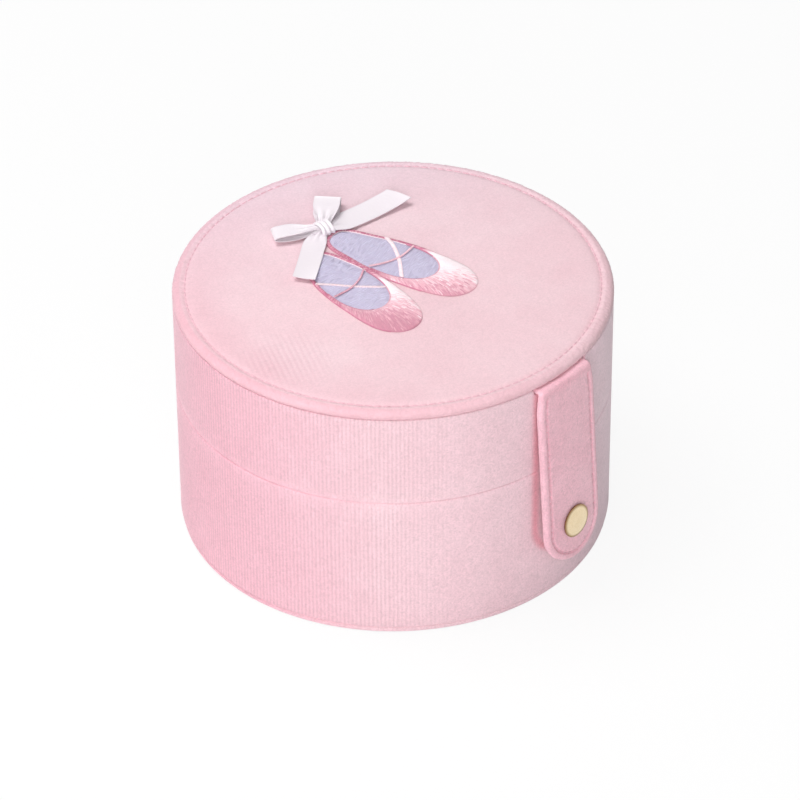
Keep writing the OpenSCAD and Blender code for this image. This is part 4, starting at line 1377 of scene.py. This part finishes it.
outline = [(CENTRE_R, pad_low.z), (PAD_R, pad_low.z)]
outline += arc(PAD_R - PAD_EDGE, pad_high.z - PAD_EDGE, PAD_EDGE, 0, 90, 6)
outline += [(PAD_R - PAD_EDGE - k * (PAD_R - PAD_EDGE) / 40, pad_high.z) for k in range(1, 40)]
floor_pad = turned("floor_pad", outline + [(CENTRE_R, pad_high.z)], PAD_STEPS)
co = vertices(floor_pad)
radius, angle = polar(co)
from_divider = np.minimum(np.abs(co[:, 0]), np.abs(co[:, 1]))
puff = 1 - np.exp(-np.clip(from_divider - 1.5 * MM, 0, None) / (6 * MM))
puff = puff * (1 - np.exp(-(PAD_R - radius) / (5 * MM)))
co[:, 2] += (co[:, 2] > pad_high.z - 0.05 * MM) * puff * PAD_SWELL
move_vertices(floor_pad, co)
close(floor_pad)
dress(floor_pad, pale_suede, "pale_suede", "base", "base_floor_pad")

# %% [markdown]
# ## Ring rolls
# Rings are pushed between five padded rolls. Each roll is foam wrapped in suede, straight-sided with a round
# top, and cut to the tray's curve. A grid makes its skin: the columns go round the roll and the rows along
# it. The ends draw in as a sewn tube does, and the top is a little uneven.

# %% Ring rolls
roll_low, roll_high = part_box("ring_rolls")
ROLL_W = 9.6 * MM
ROLL_H = roll_high.z - roll_low.z
ROLL_PITCH = 10 * MM
ROLL_COUNT = round((roll_high.y - roll_low.y + 0.4 * MM) / ROLL_PITCH)
ROLL_COLUMNS, ROLL_ROWS = 44, 72
TRAY_R = 66.3 * MM


def roll_section():
    """Across and height round the roll: flat bottom, straight sides and a round top."""
    half = ROLL_W / 2
    points = [(0, 0), (half - 0.5 * MM, 0), (half - 0.1 * MM, 0.3 * MM), (half, 1.2 * MM)]
    points += [(half, ROLL_H - half)] + arc(0, ROLL_H - half, half, 0, 180, 17)[1:]
    points += [(-half, 1.2 * MM), (-half + 0.1 * MM, 0.3 * MM), (-half + 0.5 * MM, 0), (0, 0)]
    return cut_even(np.array(points), ROLL_COLUMNS)


section = roll_section()


def ring_roll(number):
    middle_y = roll_low.y + ROLL_W / 2 + number * ROLL_PITCH
    tip = np.sqrt(TRAY_R ** 2 - middle_y ** 2)

    def place(column, row):
        u = np.sin(np.pi / 2 * (2 * row / ROLL_ROWS - 1))
        across, height = section[column].T
        y = middle_y + across * 0.985
        reach = np.sqrt(TRAY_R ** 2 - y ** 2)
        full = round_edge((1 - np.abs(u)) * reach, 2.2 * MM)
        crown = 0.25 * MM * np.sin(u * 5 + number * 1.7) * (height / ROLL_H) ** 3
        lift = (crown - 0.2 * MM) * full * (height > ROLL_H / 2)
        z = roll_low.z + ROLL_H / 2 + (height - ROLL_H / 2) * full + lift
        return u * (tip + (reach - tip) * full), middle_y + (y - middle_y) * full, z

    piece = mapped_grid("roll", ROLL_COLUMNS, ROLL_ROWS, place)
    weld(piece, 0.006 * MM)
    return piece


ring_rolls = join("ring_rolls_suede", [ring_roll(k) for k in range(ROLL_COUNT)])
close(ring_rolls, angle=60)
dress(ring_rolls, pale_suede, "pale_suede", "tray", "ring_rolls")
print("ring rolls", ROLL_COUNT, triangles(ring_rolls), "triangles")

# %% [markdown]
# ## Finishes of the boards and metal
# The boards, the glass and the snap keep the frame's own shape and only take their finish. The tray and the
# dividers are board under suede.

# %% Frame finishes
FINISHES = {
    greyboard: ["foot_board", "base_floor_board", "base_wall_board", "lid_wall_board", "lid_ceiling_board",
                "lid_disc_board", "strap_stiffener"],
    foam_sheet: ["lid_disc_foam"],
    pale_suede: ["tray_ledge", "base_divider_long", "base_divider_short", "tray_floor", "tray_wall",
                 "tray_divider_long", "tray_dividers_short"],
    pale_brass: ["snap_stud", "stud_rivet", "snap_cap", "snap_socket", "snap_spring"],
    mirror_silver: ["mirror_glass"],
}
for finish, names in FINISHES.items():
    for name in names:
        for slot in bpy.data.objects[name].material_slots:
            slot.material = finish
print("finished", sum(len(names) for names in FINISHES.values()), "frame pieces")

# %% [markdown]
# ## The embroidered slippers
# A plain pair of ballet slippers is worked in thread on the middle of the lid. One outline is drawn for both:
# each row below pairs a point on the sole's edge with the point on the foot opening that faces it, as
# distance across and distance from the heel in mm. The left slipper is the mirror image. The upper is a
# padded band between the two edges and the insole is a flat patch inside, and both are then covered with
# stitches, because it is the separate threads that catch the light.

# %% Slipper outline
SLIPPER_ROWS = [
    ((0.0, 0.0), (0.0, 1.3)), ((4.2, 1.1), (3.2, 2.2)), ((6.4, 5.5), (5.3, 6.0)), ((7.9, 13.0), (6.8, 13.0)),
    ((9.6, 21.0), (8.5, 21.0)), ((10.5, 29.0), (9.3, 28.5)), ((10.5, 37.0), (8.9, 34.5)),
    ((10.2, 45.0), (7.0, 39.5)), ((8.9, 52.0), (4.4, 42.2)), ((5.4, 57.3), (2.2, 43.3)),
    ((0.5, 59.3), (0.3, 43.6)), ((-4.8, 57.9), (-2.0, 43.2)), ((-8.6, 53.5), (-4.6, 41.8)),
    ((-10.5, 47.0), (-7.0, 38.8)), ((-11.2, 39.0), (-8.8, 34.2)), ((-11.3, 30.0), (-9.5, 28.5)),
    ((-10.6, 21.0), (-9.1, 21.0)), ((-8.9, 13.0), (-7.6, 13.0)), ((-7.3, 5.8), (-6.1, 6.3)),
    ((-4.6, 1.3), (-3.6, 2.4)), ((0.0, 0.0), (0.0, 1.3))]
HEEL_REACH = 28.9
# For each slipper its middle on the lid in mm, its turn in degrees and whether it is mirrored.
SLIPPER_PLACES = {"right": ((10.2, 6.0), 8, 1), "left": ((-12.1, 6.4), -8, -1)}
HEEL_TUCK = {"right": 0.0, "left": 3.4}
TUCK_RUN = 18
AROUND = 150
ROWS = np.arange(AROUND + 1)
SKIN_Z = DISC_Z1 + 0.05 * MM


def on_lid(side, across, from_heel):
    """A point of the slipper's own drawing, in mm, laid on the lid, in metres."""
    (x, y), turn, mirror = SLIPPER_PLACES[side]
    tuck = HEEL_TUCK[side] * np.clip(1 - np.asarray(from_heel) / TUCK_RUN, 0, 1)
    b, s = np.asarray(across) * mirror, HEEL_REACH - np.asarray(from_heel) - tuck
    c, n = math.cos(math.radians(turn)), math.sin(math.radians(turn))
    return (x + b * c - s * n) * MM, (y + b * n + s * c) * MM


drawing = smooth_path(np.array([edge + opening for edge, opening in SLIPPER_ROWS]), AROUND)
EDGE, OPENING = drawing[:, :2], drawing[:, 2:]
BAND_W = np.linalg.norm(EDGE - OPENING, axis=1)


def upper_spot(side, row, v, lift=0.0):
    """A point on the padded upper: row runs round the slipper, v from the opening (0) to the edge (1)."""
    row, v = np.asarray(row, float), np.asarray(v, float)
    spot = [inner * (1 - v) + outer * v
            for inner, outer in zip(point_at(OPENING, ROWS, row), point_at(EDGE, ROWS, row))]
    width = np.interp(row, ROWS, BAND_W)
    height = np.clip(0.3 + 0.07 * width, 0.4, 1.35) * np.sin(np.pi * np.clip(v, 0, 1) ** 0.75) ** 0.6
    x, y = on_lid(side, *spot)
    return x, y, SKIN_Z + height * MM + lift


# %% [markdown]
# ## Thread colours
# The toes shade from rose on one side to nearly white on the other, as if light fell across them. The shade
# of a thread comes from where it lies, with a little chance, so neighbouring threads differ.

# %% Thread colours
ROSE, PALE_ROSE, NEAR_WHITE = srgb(210, 148, 166), srgb(232, 185, 196), srgb(246, 230, 234)
OUTLINE_ROSE = srgb(200, 122, 148)
LAVENDER, PALE_LAVENDER = srgb(196, 189, 212), srgb(211, 208, 228)
TOE_LIFT = {"right": 0.16, "left": -0.27}
TOE_MIDDLE = 50.0
SHADE_RUN = 17 * MM
PAD_DARKER = 0.93
chance = np.random.default_rng(21)


def blend_of(first, second, share):
    share = np.clip(np.asarray(share, float), 0, 1)[..., None]
    return np.asarray(first) * (1 - share) + np.asarray(second) * share


def toe_shade(side, x, y, jitter=0.0):
    """Rose at the lower left of each slipper, pale in the middle and nearly white at the upper right."""
    toe_x, toe_y = on_lid(side, 0.0, TOE_MIDDLE)
    over = ((np.asarray(x) - toe_x) * 0.86 + (np.asarray(y) - toe_y) * 0.5) / SHADE_RUN
    share = over + 0.5 + TOE_LIFT[side] + jitter
    low = blend_of(ROSE, PALE_ROSE, share / 0.5)
    high = blend_of(PALE_ROSE, NEAR_WHITE, (share - 0.5) / 0.42)
    return np.where((share < 0.5)[..., None], low, high)


# %% [markdown]
# The pads under the threads come first. An upper is a grid bent into a closed band, and an insole is a low
# dome between the two sides of the opening.

# %% Padded uppers and insoles
PAD_COLUMNS = 11
INSOLE_COLUMNS, INSOLE_ROWS = 16, 60
INSOLE_EDGE, INSOLE_DOME = 0.12, 0.32


def padded_upper(side):
    def place(column, row):
        """Ten columns over the pad; the eleventh comes back to the first and closes the pad underneath."""
        return upper_spot(side, row, (column % PAD_COLUMNS) / (PAD_COLUMNS - 1))

    piece = mapped_grid("upper_" + side, PAD_COLUMNS, AROUND, place)
    weld(piece, 0.01 * MM)
    co = vertices(piece)
    # The pad is painted a little darker than the threads on it, as painted shade in the gaps between
    # stitches.
    paint(piece, toe_shade(side, co[:, 0], co[:, 1]) * PAD_DARKER)
    return piece


def insole(side):
    def place(column, row):
        u = 2 * column / INSOLE_COLUMNS - 1
        k = row / INSOLE_ROWS * AROUND / 2
        one_side, other_side = point_at(OPENING, ROWS, k), point_at(OPENING, ROWS, AROUND - k)
        across, from_heel = ((a * (1 + u) + b * (1 - u)) / 2 for a, b in zip(one_side, other_side))
        half = np.abs(one_side[0] - other_side[0]) / 2
        x, y = on_lid(side, across, from_heel)
        dome = INSOLE_DOME * (1 - np.abs(u) ** 3) * np.clip(half / 4, 0, 1) ** 0.5
        return x, y, SKIN_Z + (INSOLE_EDGE + dome) * MM

    piece = mapped_grid("insole_" + side, INSOLE_COLUMNS, INSOLE_ROWS, place)
    weld(piece, 0.01 * MM)
    fill_holes(piece)
    paint(piece, LAVENDER)
    return piece


uppers = join("slipper_upper_pads", [padded_upper(side) for side in SLIPPER_PLACES])
insoles = join("slipper_insole_pads", [insole(side) for side in SLIPPER_PLACES])
dress(close(uppers, angle=60), embroidery, "rose_thread", "lid", "slipper_uppers")
dress(close(insoles, angle=60), embroidery, "lavender_thread", "lid", "slipper_insoles")

# %% [markdown]
# ## Laying the stitches
# Three kinds of stitch cover the pads. Long and short stitches fan out over the toe from the opening. Short
# satin stitches cross the narrow rims. A stem stitch, whose threads overlap at a slant, draws the outline.

# %% Toe and rim stitches
TOE_SPACING = 0.55
RIM_W = 2.2
TOE_STITCH = 1.9
UP = (0, 0, 1)
LEAST_STITCH = 0.2 * MM


def between(a, b):
    """The middle between two points, and the way from the first to the second."""
    a, b = np.array(a), np.array(b)
    return (a + b) / 2, b - a


def toe_spans(width):
    """Where the stitches of one row start and end on the band, from 0 at the opening to 1 at the edge."""
    if width < RIM_W:
        return [(0.02, 0.98)]
    parts = max(2, int(round(width / TOE_STITCH)))
    shift = chance.uniform(-0.35, 0.35)
    order = np.arange(parts + 1)
    marks = np.clip((order + shift * (order % parts > 0)) / parts, 0, 1)
    return [(max(0.01, marks[k] - 0.03), min(0.99, marks[k + 1] + 0.03)) for k in range(parts)]


toe_places, toe_shades = [], []
for side in SLIPPER_PLACES:
    for row in np.arange(0.5, AROUND, TOE_SPACING):
        width = np.interp(row, ROWS, BAND_W)
        for low, high in toe_spans(width):
            lean = chance.uniform(-0.15, 0.15)
            a = upper_spot(side, row, low, 0.02 * MM)
            b = upper_spot(side, row + lean, high, 0.02 * MM)
            middle, along = between(a, b)
            middle[2] = upper_spot(side, row, (low + high) / 2, 0.06 * MM)[2]
            if np.linalg.norm(along) < LEAST_STITCH:
                continue
            toe_places.append((middle, along / MM, UP))
            shade = toe_shade(side, middle[0], middle[1], chance.normal(0, 0.19)) * chance.uniform(0.94, 1.03)
            rim = np.clip((3.2 - width) / 1.4, 0, 1)
            rim_shade = blend_of(OUTLINE_ROSE, PALE_ROSE, chance.uniform(-0.4, 0.8))
            toe_shades.append(blend_of(shade, rim_shade, rim))
toe_shades = [np.clip(np.append(shade[:3], 1.0), 0, 1) for shade in toe_shades]
toe_stitches = lay_threads("slipper_stitches", MM, THREAD_T, toe_places, toe_shades)
print("toe and rim stitches", len(toe_places), triangles(toe_stitches), "triangles")

# %% [markdown]
# The insoles are filled with rows of darning, straight across, whose threads are of uneven length.

# %% Insole stitches
opening_b, opening_a = OPENING.T
near_half = ROWS <= AROUND // 2

insole_places, insole_shades = [], []
for side in SLIPPER_PLACES:
    for from_heel in np.arange(3.0, 42.6, 0.85):
        right = np.interp(from_heel, opening_a[near_half], opening_b[near_half])
        left = np.interp(from_heel, opening_a[~near_half][::-1], opening_b[~near_half][::-1])
        reached = left + chance.uniform(0.2, 2.0)
        while reached < right - 0.8:
            length = min(chance.uniform(2.0, 4.2), right - reached - 0.3)
            middle_b = reached + length / 2
            u = (2 * middle_b - left - right) / (right - left)
            x, y = on_lid(side, middle_b, from_heel + chance.uniform(-0.2, 0.2))
            x2, y2 = on_lid(side, middle_b + 1, from_heel + chance.uniform(-0.15, 0.15))
            z = SKIN_Z + (INSOLE_EDGE + INSOLE_DOME * (1 - abs(u) ** 3)) * MM + 0.03 * MM
            along = np.array((x2 - x, y2 - y, 0.0))
            along *= length / np.linalg.norm(along)
            insole_places.append(((x, y, z), along, UP))
            insole_shades.append(blend_of(LAVENDER, PALE_LAVENDER, chance.uniform(-0.3, 1.0)))
            reached += length + chance.uniform(0.1, 1.2)
insole_stitches = lay_threads("insole_stitches", MM, 0.34 * MM, insole_places, insole_shades)
print("insole stitches", len(insole_places), triangles(insole_stitches), "triangles")

# %% [markdown]
# The outline follows both edges of the band, except where the bow hides the heels and where the toe stitches
# run out over the edge.

# %% Outlines
TOE_BARE = {"right": 46, "left": 55}
PALE_TOE_BARE = 40
HEEL_BARE = 25
STEM_SPACING, STEM_REACH = 0.95, 2.0

stem_places, stem_shades = [], []
for side in SLIPPER_PLACES:
    dark_side = 1 if side == "left" else -1
    for curve, v, height in ((EDGE, 1.0, 0.16), (OPENING, 0.0, 0.4)):
        run = running_length(curve)
        for s in np.arange(0, run[-1], STEM_SPACING):
            row = np.interp(s, run, ROWS)
            next_row = np.interp(min(s + STEM_REACH, run[-1]), run, ROWS)
            across, from_heel = point_at(curve, ROWS, row)
            pale = from_heel > 36 and across * dark_side < 4
            if v == 1.0 and from_heel > (PALE_TOE_BARE if pale else TOE_BARE[side]):
                continue
            if v == 0.0 and from_heel < HEEL_BARE:
                continue
            middle, along = between(upper_spot(side, row, v), upper_spot(side, next_row, v))
            middle[2], along[2] = SKIN_Z + height * MM, 0
            if np.linalg.norm(along) < 2 * LEAST_STITCH:
                continue
            stem_places.append((middle, along / MM, UP))
            share = chance.uniform(0, 0.5) + 0.5 * pale
            stem_shades.append(blend_of(OUTLINE_ROSE, PALE_ROSE if pale else ROSE, share))
stem = lay_threads("outline_stitches", MM, 0.5 * MM, stem_places, stem_shades)
print("outline stitches", len(stem_places))

# %% [markdown]
# A lace is a cord laid over the insole and wrapped with slanting threads from end to end.

# %% Laces
# For each lace its slipper, its points in the slipper's drawing, its width in mm and its colour.
LACES = [
    ("right", [(8.6, 17.5), (6.0, 22.0), (0.0, 28.6), (-8.2, 35.2)], 1.6, NEAR_WHITE),
    ("right", [(9.2, 28.5), (2.0, 28.4), (-4.0, 26.2), (-9.3, 22.4)], 0.8, PALE_ROSE),
    ("left", [(8.8, 18.5), (4.4, 23.0), (-1.0, 29.0), (-8.2, 35.4)], 1.05, NEAR_WHITE),
    ("left", [(9.2, 28.8), (2.0, 28.6), (-4.0, 26.4), (-9.3, 22.6)], 0.8, ROSE)]
LACE_ROWS = 50
WRAP_PITCH = 0.42 * MM
WRAP_SLANT = 0.45

lace_places, lace_shades, cords = [], [], []
for number, (side, drawn, wide, shade) in enumerate(LACES):
    thin = number % 2
    height = SKIN_Z + (0.55 + 0.3 * thin) * MM
    path = smooth_path(np.array([(*on_lid(side, *point), height) for point in drawn]), LACE_ROWS)
    cords.append(tube("lace", path, (wide - 0.25) * MM, 0.5 * MM))
    paint(cords[-1], shade)
    ahead = directions(path)
    run = np.linalg.norm(np.diff(path, axis=0), axis=1).sum()
    for s in np.linspace(0.01, 0.99, int(run / WRAP_PITCH)):
        k = s * LACE_ROWS
        forward = ahead[int(k)]
        cross = np.array((-forward[1], forward[0], 0)) + forward * WRAP_SLANT
        cross /= np.linalg.norm(cross)
        spot = np.array(point_at(path, np.arange(LACE_ROWS + 1), k))
        lace_places.append((spot + (0, 0, 0.2 * MM), cross * wide, UP))
        tint = chance.uniform(0.0, 0.35)
        lace_shades.append(blend_of(shade, NEAR_WHITE if thin else PALE_ROSE, tint))
lace_stitches = lay_threads("lace_stitches", MM, 0.4 * MM, lace_places, lace_shades)
laces = close(join("slipper_laces", cords + [lace_stitches]), angle=60)
for piece, slot, cad in ((toe_stitches, "rose_thread", []), (insole_stitches, "lavender_thread", []),
                         (stem, "rose_thread", []), (laces, "white_thread", ["slipper_lacing"])):
    piece.data.materials.clear()
    dress(piece, embroidery, slot, "lid", *cad)

# %% [markdown]
# ## Ribbons
# A ribbon is a grid laid along a path, with its pleats where it is pinched, and then given its thickness by
# Solidify.

# %% Ribbon
RIBBON_T = 0.25 * MM
RIBBON_COLUMNS = 24
PLEATS = 2.5
PLEAT_DEPTH = 0.55 * MM
SLANT_FROM = 0.6


def ribbon(name, path, side, widths, pleat, slant=0.0, curl=0.0):
    """A ribbon along a path in metres; side points across it, and pleat is the depth of its folds."""
    ahead = directions(path)
    side = np.asarray(side, float)
    side = side / np.linalg.norm(side)
    face = np.cross(side, ahead)
    face /= np.linalg.norm(face, axis=1)[:, None]
    run = running_length(path)
    share = run / run[-1]

    def place(column, row):
        u = column / RIBBON_COLUMNS - 0.5
        across = u * widths[row]
        lift = pleat[row] * np.sin(2 * np.pi * PLEATS * u + 0.6) + curl * share[row] ** 2 * (2 * u) ** 2
        shift = -slant * (u + 0.5) * rise(share[row], SLANT_FROM, 1 - SLANT_FROM)
        spot = path[row] + side * across[:, None] + face[row] * lift[:, None] + ahead[row] * shift[:, None]
        return spot.T

    piece = mapped_grid(name, RIBBON_COLUMNS, len(path) - 1, place)
    cloth = piece.data.uv_layers.active or piece.data.uv_layers.new()
    cloth.name = "Cloth"
    uv = np.empty(2 * len(piece.data.loops))
    cloth.data.foreach_get("uv", uv)
    uv = uv.reshape(-1, 2) * (RIBBON_W / MM, run[-1] / MM)
    cloth.data.foreach_set("uv", uv.ravel())
    area = mesh_area(piece)
    add_modifier(piece, "SOLIDIFY", thickness=RIBBON_T, offset=0)
    close(piece, angle=50)
    print(name, "length", round(run[-1] / MM, 1), "area", round(area / MM ** 2), "mm2")
    return piece, run[-1], area


def declare_ribbon(made, body, cad):
    piece, length, area = made
    dress(piece, white_satin, "white_satin", body, cad)


def pinch(path, both_ends, narrow, reach):
    """Widths and pleat depths along a path that is pinched at its start, or at both ends."""
    run = running_length(path)
    near = np.minimum(run, run[-1] - run) if both_ends else run
    open_share = ease(near / reach)
    return narrow + (RIBBON_W - narrow) * open_share, PLEAT_DEPTH * (1 - open_share)


# %% [markdown]
# ## The bow
# The bow is a real ribbon bow, tacked to the lid over the slippers' heels: a loop to the back, a shorter
# loop to the left, a long tail to the right that lifts at its end and throws a shadow, and a short tail that
# lies over the left slipper. Each part is drawn from the side, as reach from the knot and height above the
# velvet in mm, and turned to its own direction.

# %% Bow
KNOT = np.array((5.4, 37.0))


def heading(turn):
    """The way a turn in degrees points on the lid."""
    return np.array((math.cos(math.radians(turn)), math.sin(math.radians(turn))))


def bow_path(turn, points, count, shift=0.0):
    """Points of reach and height turned into a path from the knot; shift moves it aside."""
    ahead = heading(turn)
    aside = np.array((-ahead[1], ahead[0])) * shift
    places = [(*(KNOT + ahead * reach + aside * min(1, reach / 6)), DISC_Z1 / MM + height)
              for reach, height in points]
    return smooth_path(np.array(places) * MM, count)


RIGHT_TAIL = [(0, 1.9), (4, 1.6), (10, 1.15), (17, 1.1), (24, 1.5), (30, 2.3), (34.5, 3.3)]
LEFT_TAIL = [(0, 1.7), (4, 1.5), (9, 1.2), (15, 1.15), (21, 1.2), (26, 1.4), (30.5, 1.8)]
BACK_LOOP = [(0.4, 2.0), (4, 1.7), (10, 1.3), (14.5, 1.4), (17.2, 2.1), (17.8, 3.0), (16.4, 3.8), (12, 4.2),
             (8, 3.9), (4, 3.4), (0.6, 3.0)]
LEFT_LOOP = [(0.4, 2.0), (4, 1.6), (9, 1.2), (14, 1.3), (17.0, 1.8), (17.7, 2.5), (16.2, 3.2), (12, 3.5),
             (8, 3.4), (4, 3.2), (0.6, 3.0)]
# For each part its drawing, rows, turn, turn of its width, shift aside in mm, width at the knot and pleated
# length in mm, share of the full width, and the slant and curl of its end in mm.
BOW = {
    "bow_tail_right": (RIGHT_TAIL, 60, -10, 170, 0.0, 5.6, 9, 1, 3, 0.5),
    "bow_tail_left": (LEFT_TAIL, 56, 213, 213, -1.6, 5.4, 9, 0.8, 1.0, 0.3),
    "bow_loop_back": (BACK_LOOP, 84, 37, 37, 0.0, 4.6, 11, 0.92, 0, 0),
    "bow_loop_left": (LEFT_LOOP, 80, 146, 146, 0.0, 4.2, 12, 0.7, 0, 0),
}
for name, (points, rows, turn, width_turn, shift, narrow, reach, part, slant, curl) in BOW.items():
    is_loop = "loop" in name
    cad, held = ("bow_loops", "folded") if is_loop else ("bow_tails", "laid")
    path = bow_path(turn, points, rows, shift)
    widths, pleat = pinch(path, is_loop, narrow * MM, reach * MM)
    x, y = heading(width_turn)
    made = ribbon(name, path, (y, -x, 0), widths * part, pleat, slant * MM, curl * MM)
    declare_ribbon(made, "lid", cad)

# %% [markdown]
# A folded band makes the knot. It is drawn round the ribbons, as distance from the knot's middle and height
# above the velvet in mm.

# %% The knot
KNOT_TURN = -12
KNOT_LOOP = [(-3.0, 1.1), (-3.4, 2.2), (-2.2, 3.7), (0, 4.3), (2.2, 3.7), (3.4, 2.2), (3.0, 1.1), (1.0, 0.75),
             (-2.0, 0.8)]
KNOT_ROWS = 60

x, y = heading(KNOT_TURN)
aside = np.array((-y, x))
band = [(*(KNOT + aside * away), DISC_Z1 / MM + height) for away, height in KNOT_LOOP]
path = smooth_path(np.array(band) * MM, KNOT_ROWS)
widths = 4.7 * MM + 0.4 * MM * np.cos(np.linspace(0, 2 * np.pi, KNOT_ROWS + 1) * 2)
knot = ribbon("bow_knot_band", path, (x, y, 0), widths, np.full(KNOT_ROWS + 1, 0.28 * MM))
declare_ribbon(knot, "lid", "bow_knot")

# %% [markdown]
# ## Pull tabs
# The tray is lifted out by two folded ribbons, glued behind its wall. They are the same satin as the bow.

# %% Pull tabs
TAB_ROWS = 72
FOLD_STEP = 0.22 * MM
tab_low, tab_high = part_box("tray_pull_tabs")
tab_y = (tab_low.y + tab_high.y) / 2
tab_middle_z = (tab_low.z + tab_high.z) / 2
outside = tab_high.x - 0.15 * MM
inside = outside - 2 * FOLD_STEP
profile = [(outside, tab_low.z), (outside, tab_middle_z), (outside, tab_high.z - 0.6 * MM),
           (outside - FOLD_STEP, tab_high.z - 0.15 * MM), (inside, tab_high.z - 0.6 * MM),
           (inside - 0.04 * MM, tab_middle_z), (inside, tab_low.z)]
widths = np.full(TAB_ROWS + 1, RIBBON_W - 0.2 * MM)
for name, sign in (("tab_right", 1), ("tab_left", -1)):
    path = smooth_path(np.array([(sign * r, tab_y, z) for r, z in profile]), TAB_ROWS)
    made = ribbon(name, path, (0, 1, 0), widths, np.zeros(TAB_ROWS + 1))
    co = vertices(made[0])
    co[:, 0] -= sign * (TRAY_R - np.sqrt(TRAY_R ** 2 - (co[:, 1] - tab_y) ** 2))
    move_vertices(made[0], co)
    declare_ribbon(made, "tray", "tray_pull_tabs")

# %% [markdown]
# ## Finish
# The view is plain Standard.

# %% Finish
bpy.context.scene.view_settings.view_transform = "Standard"
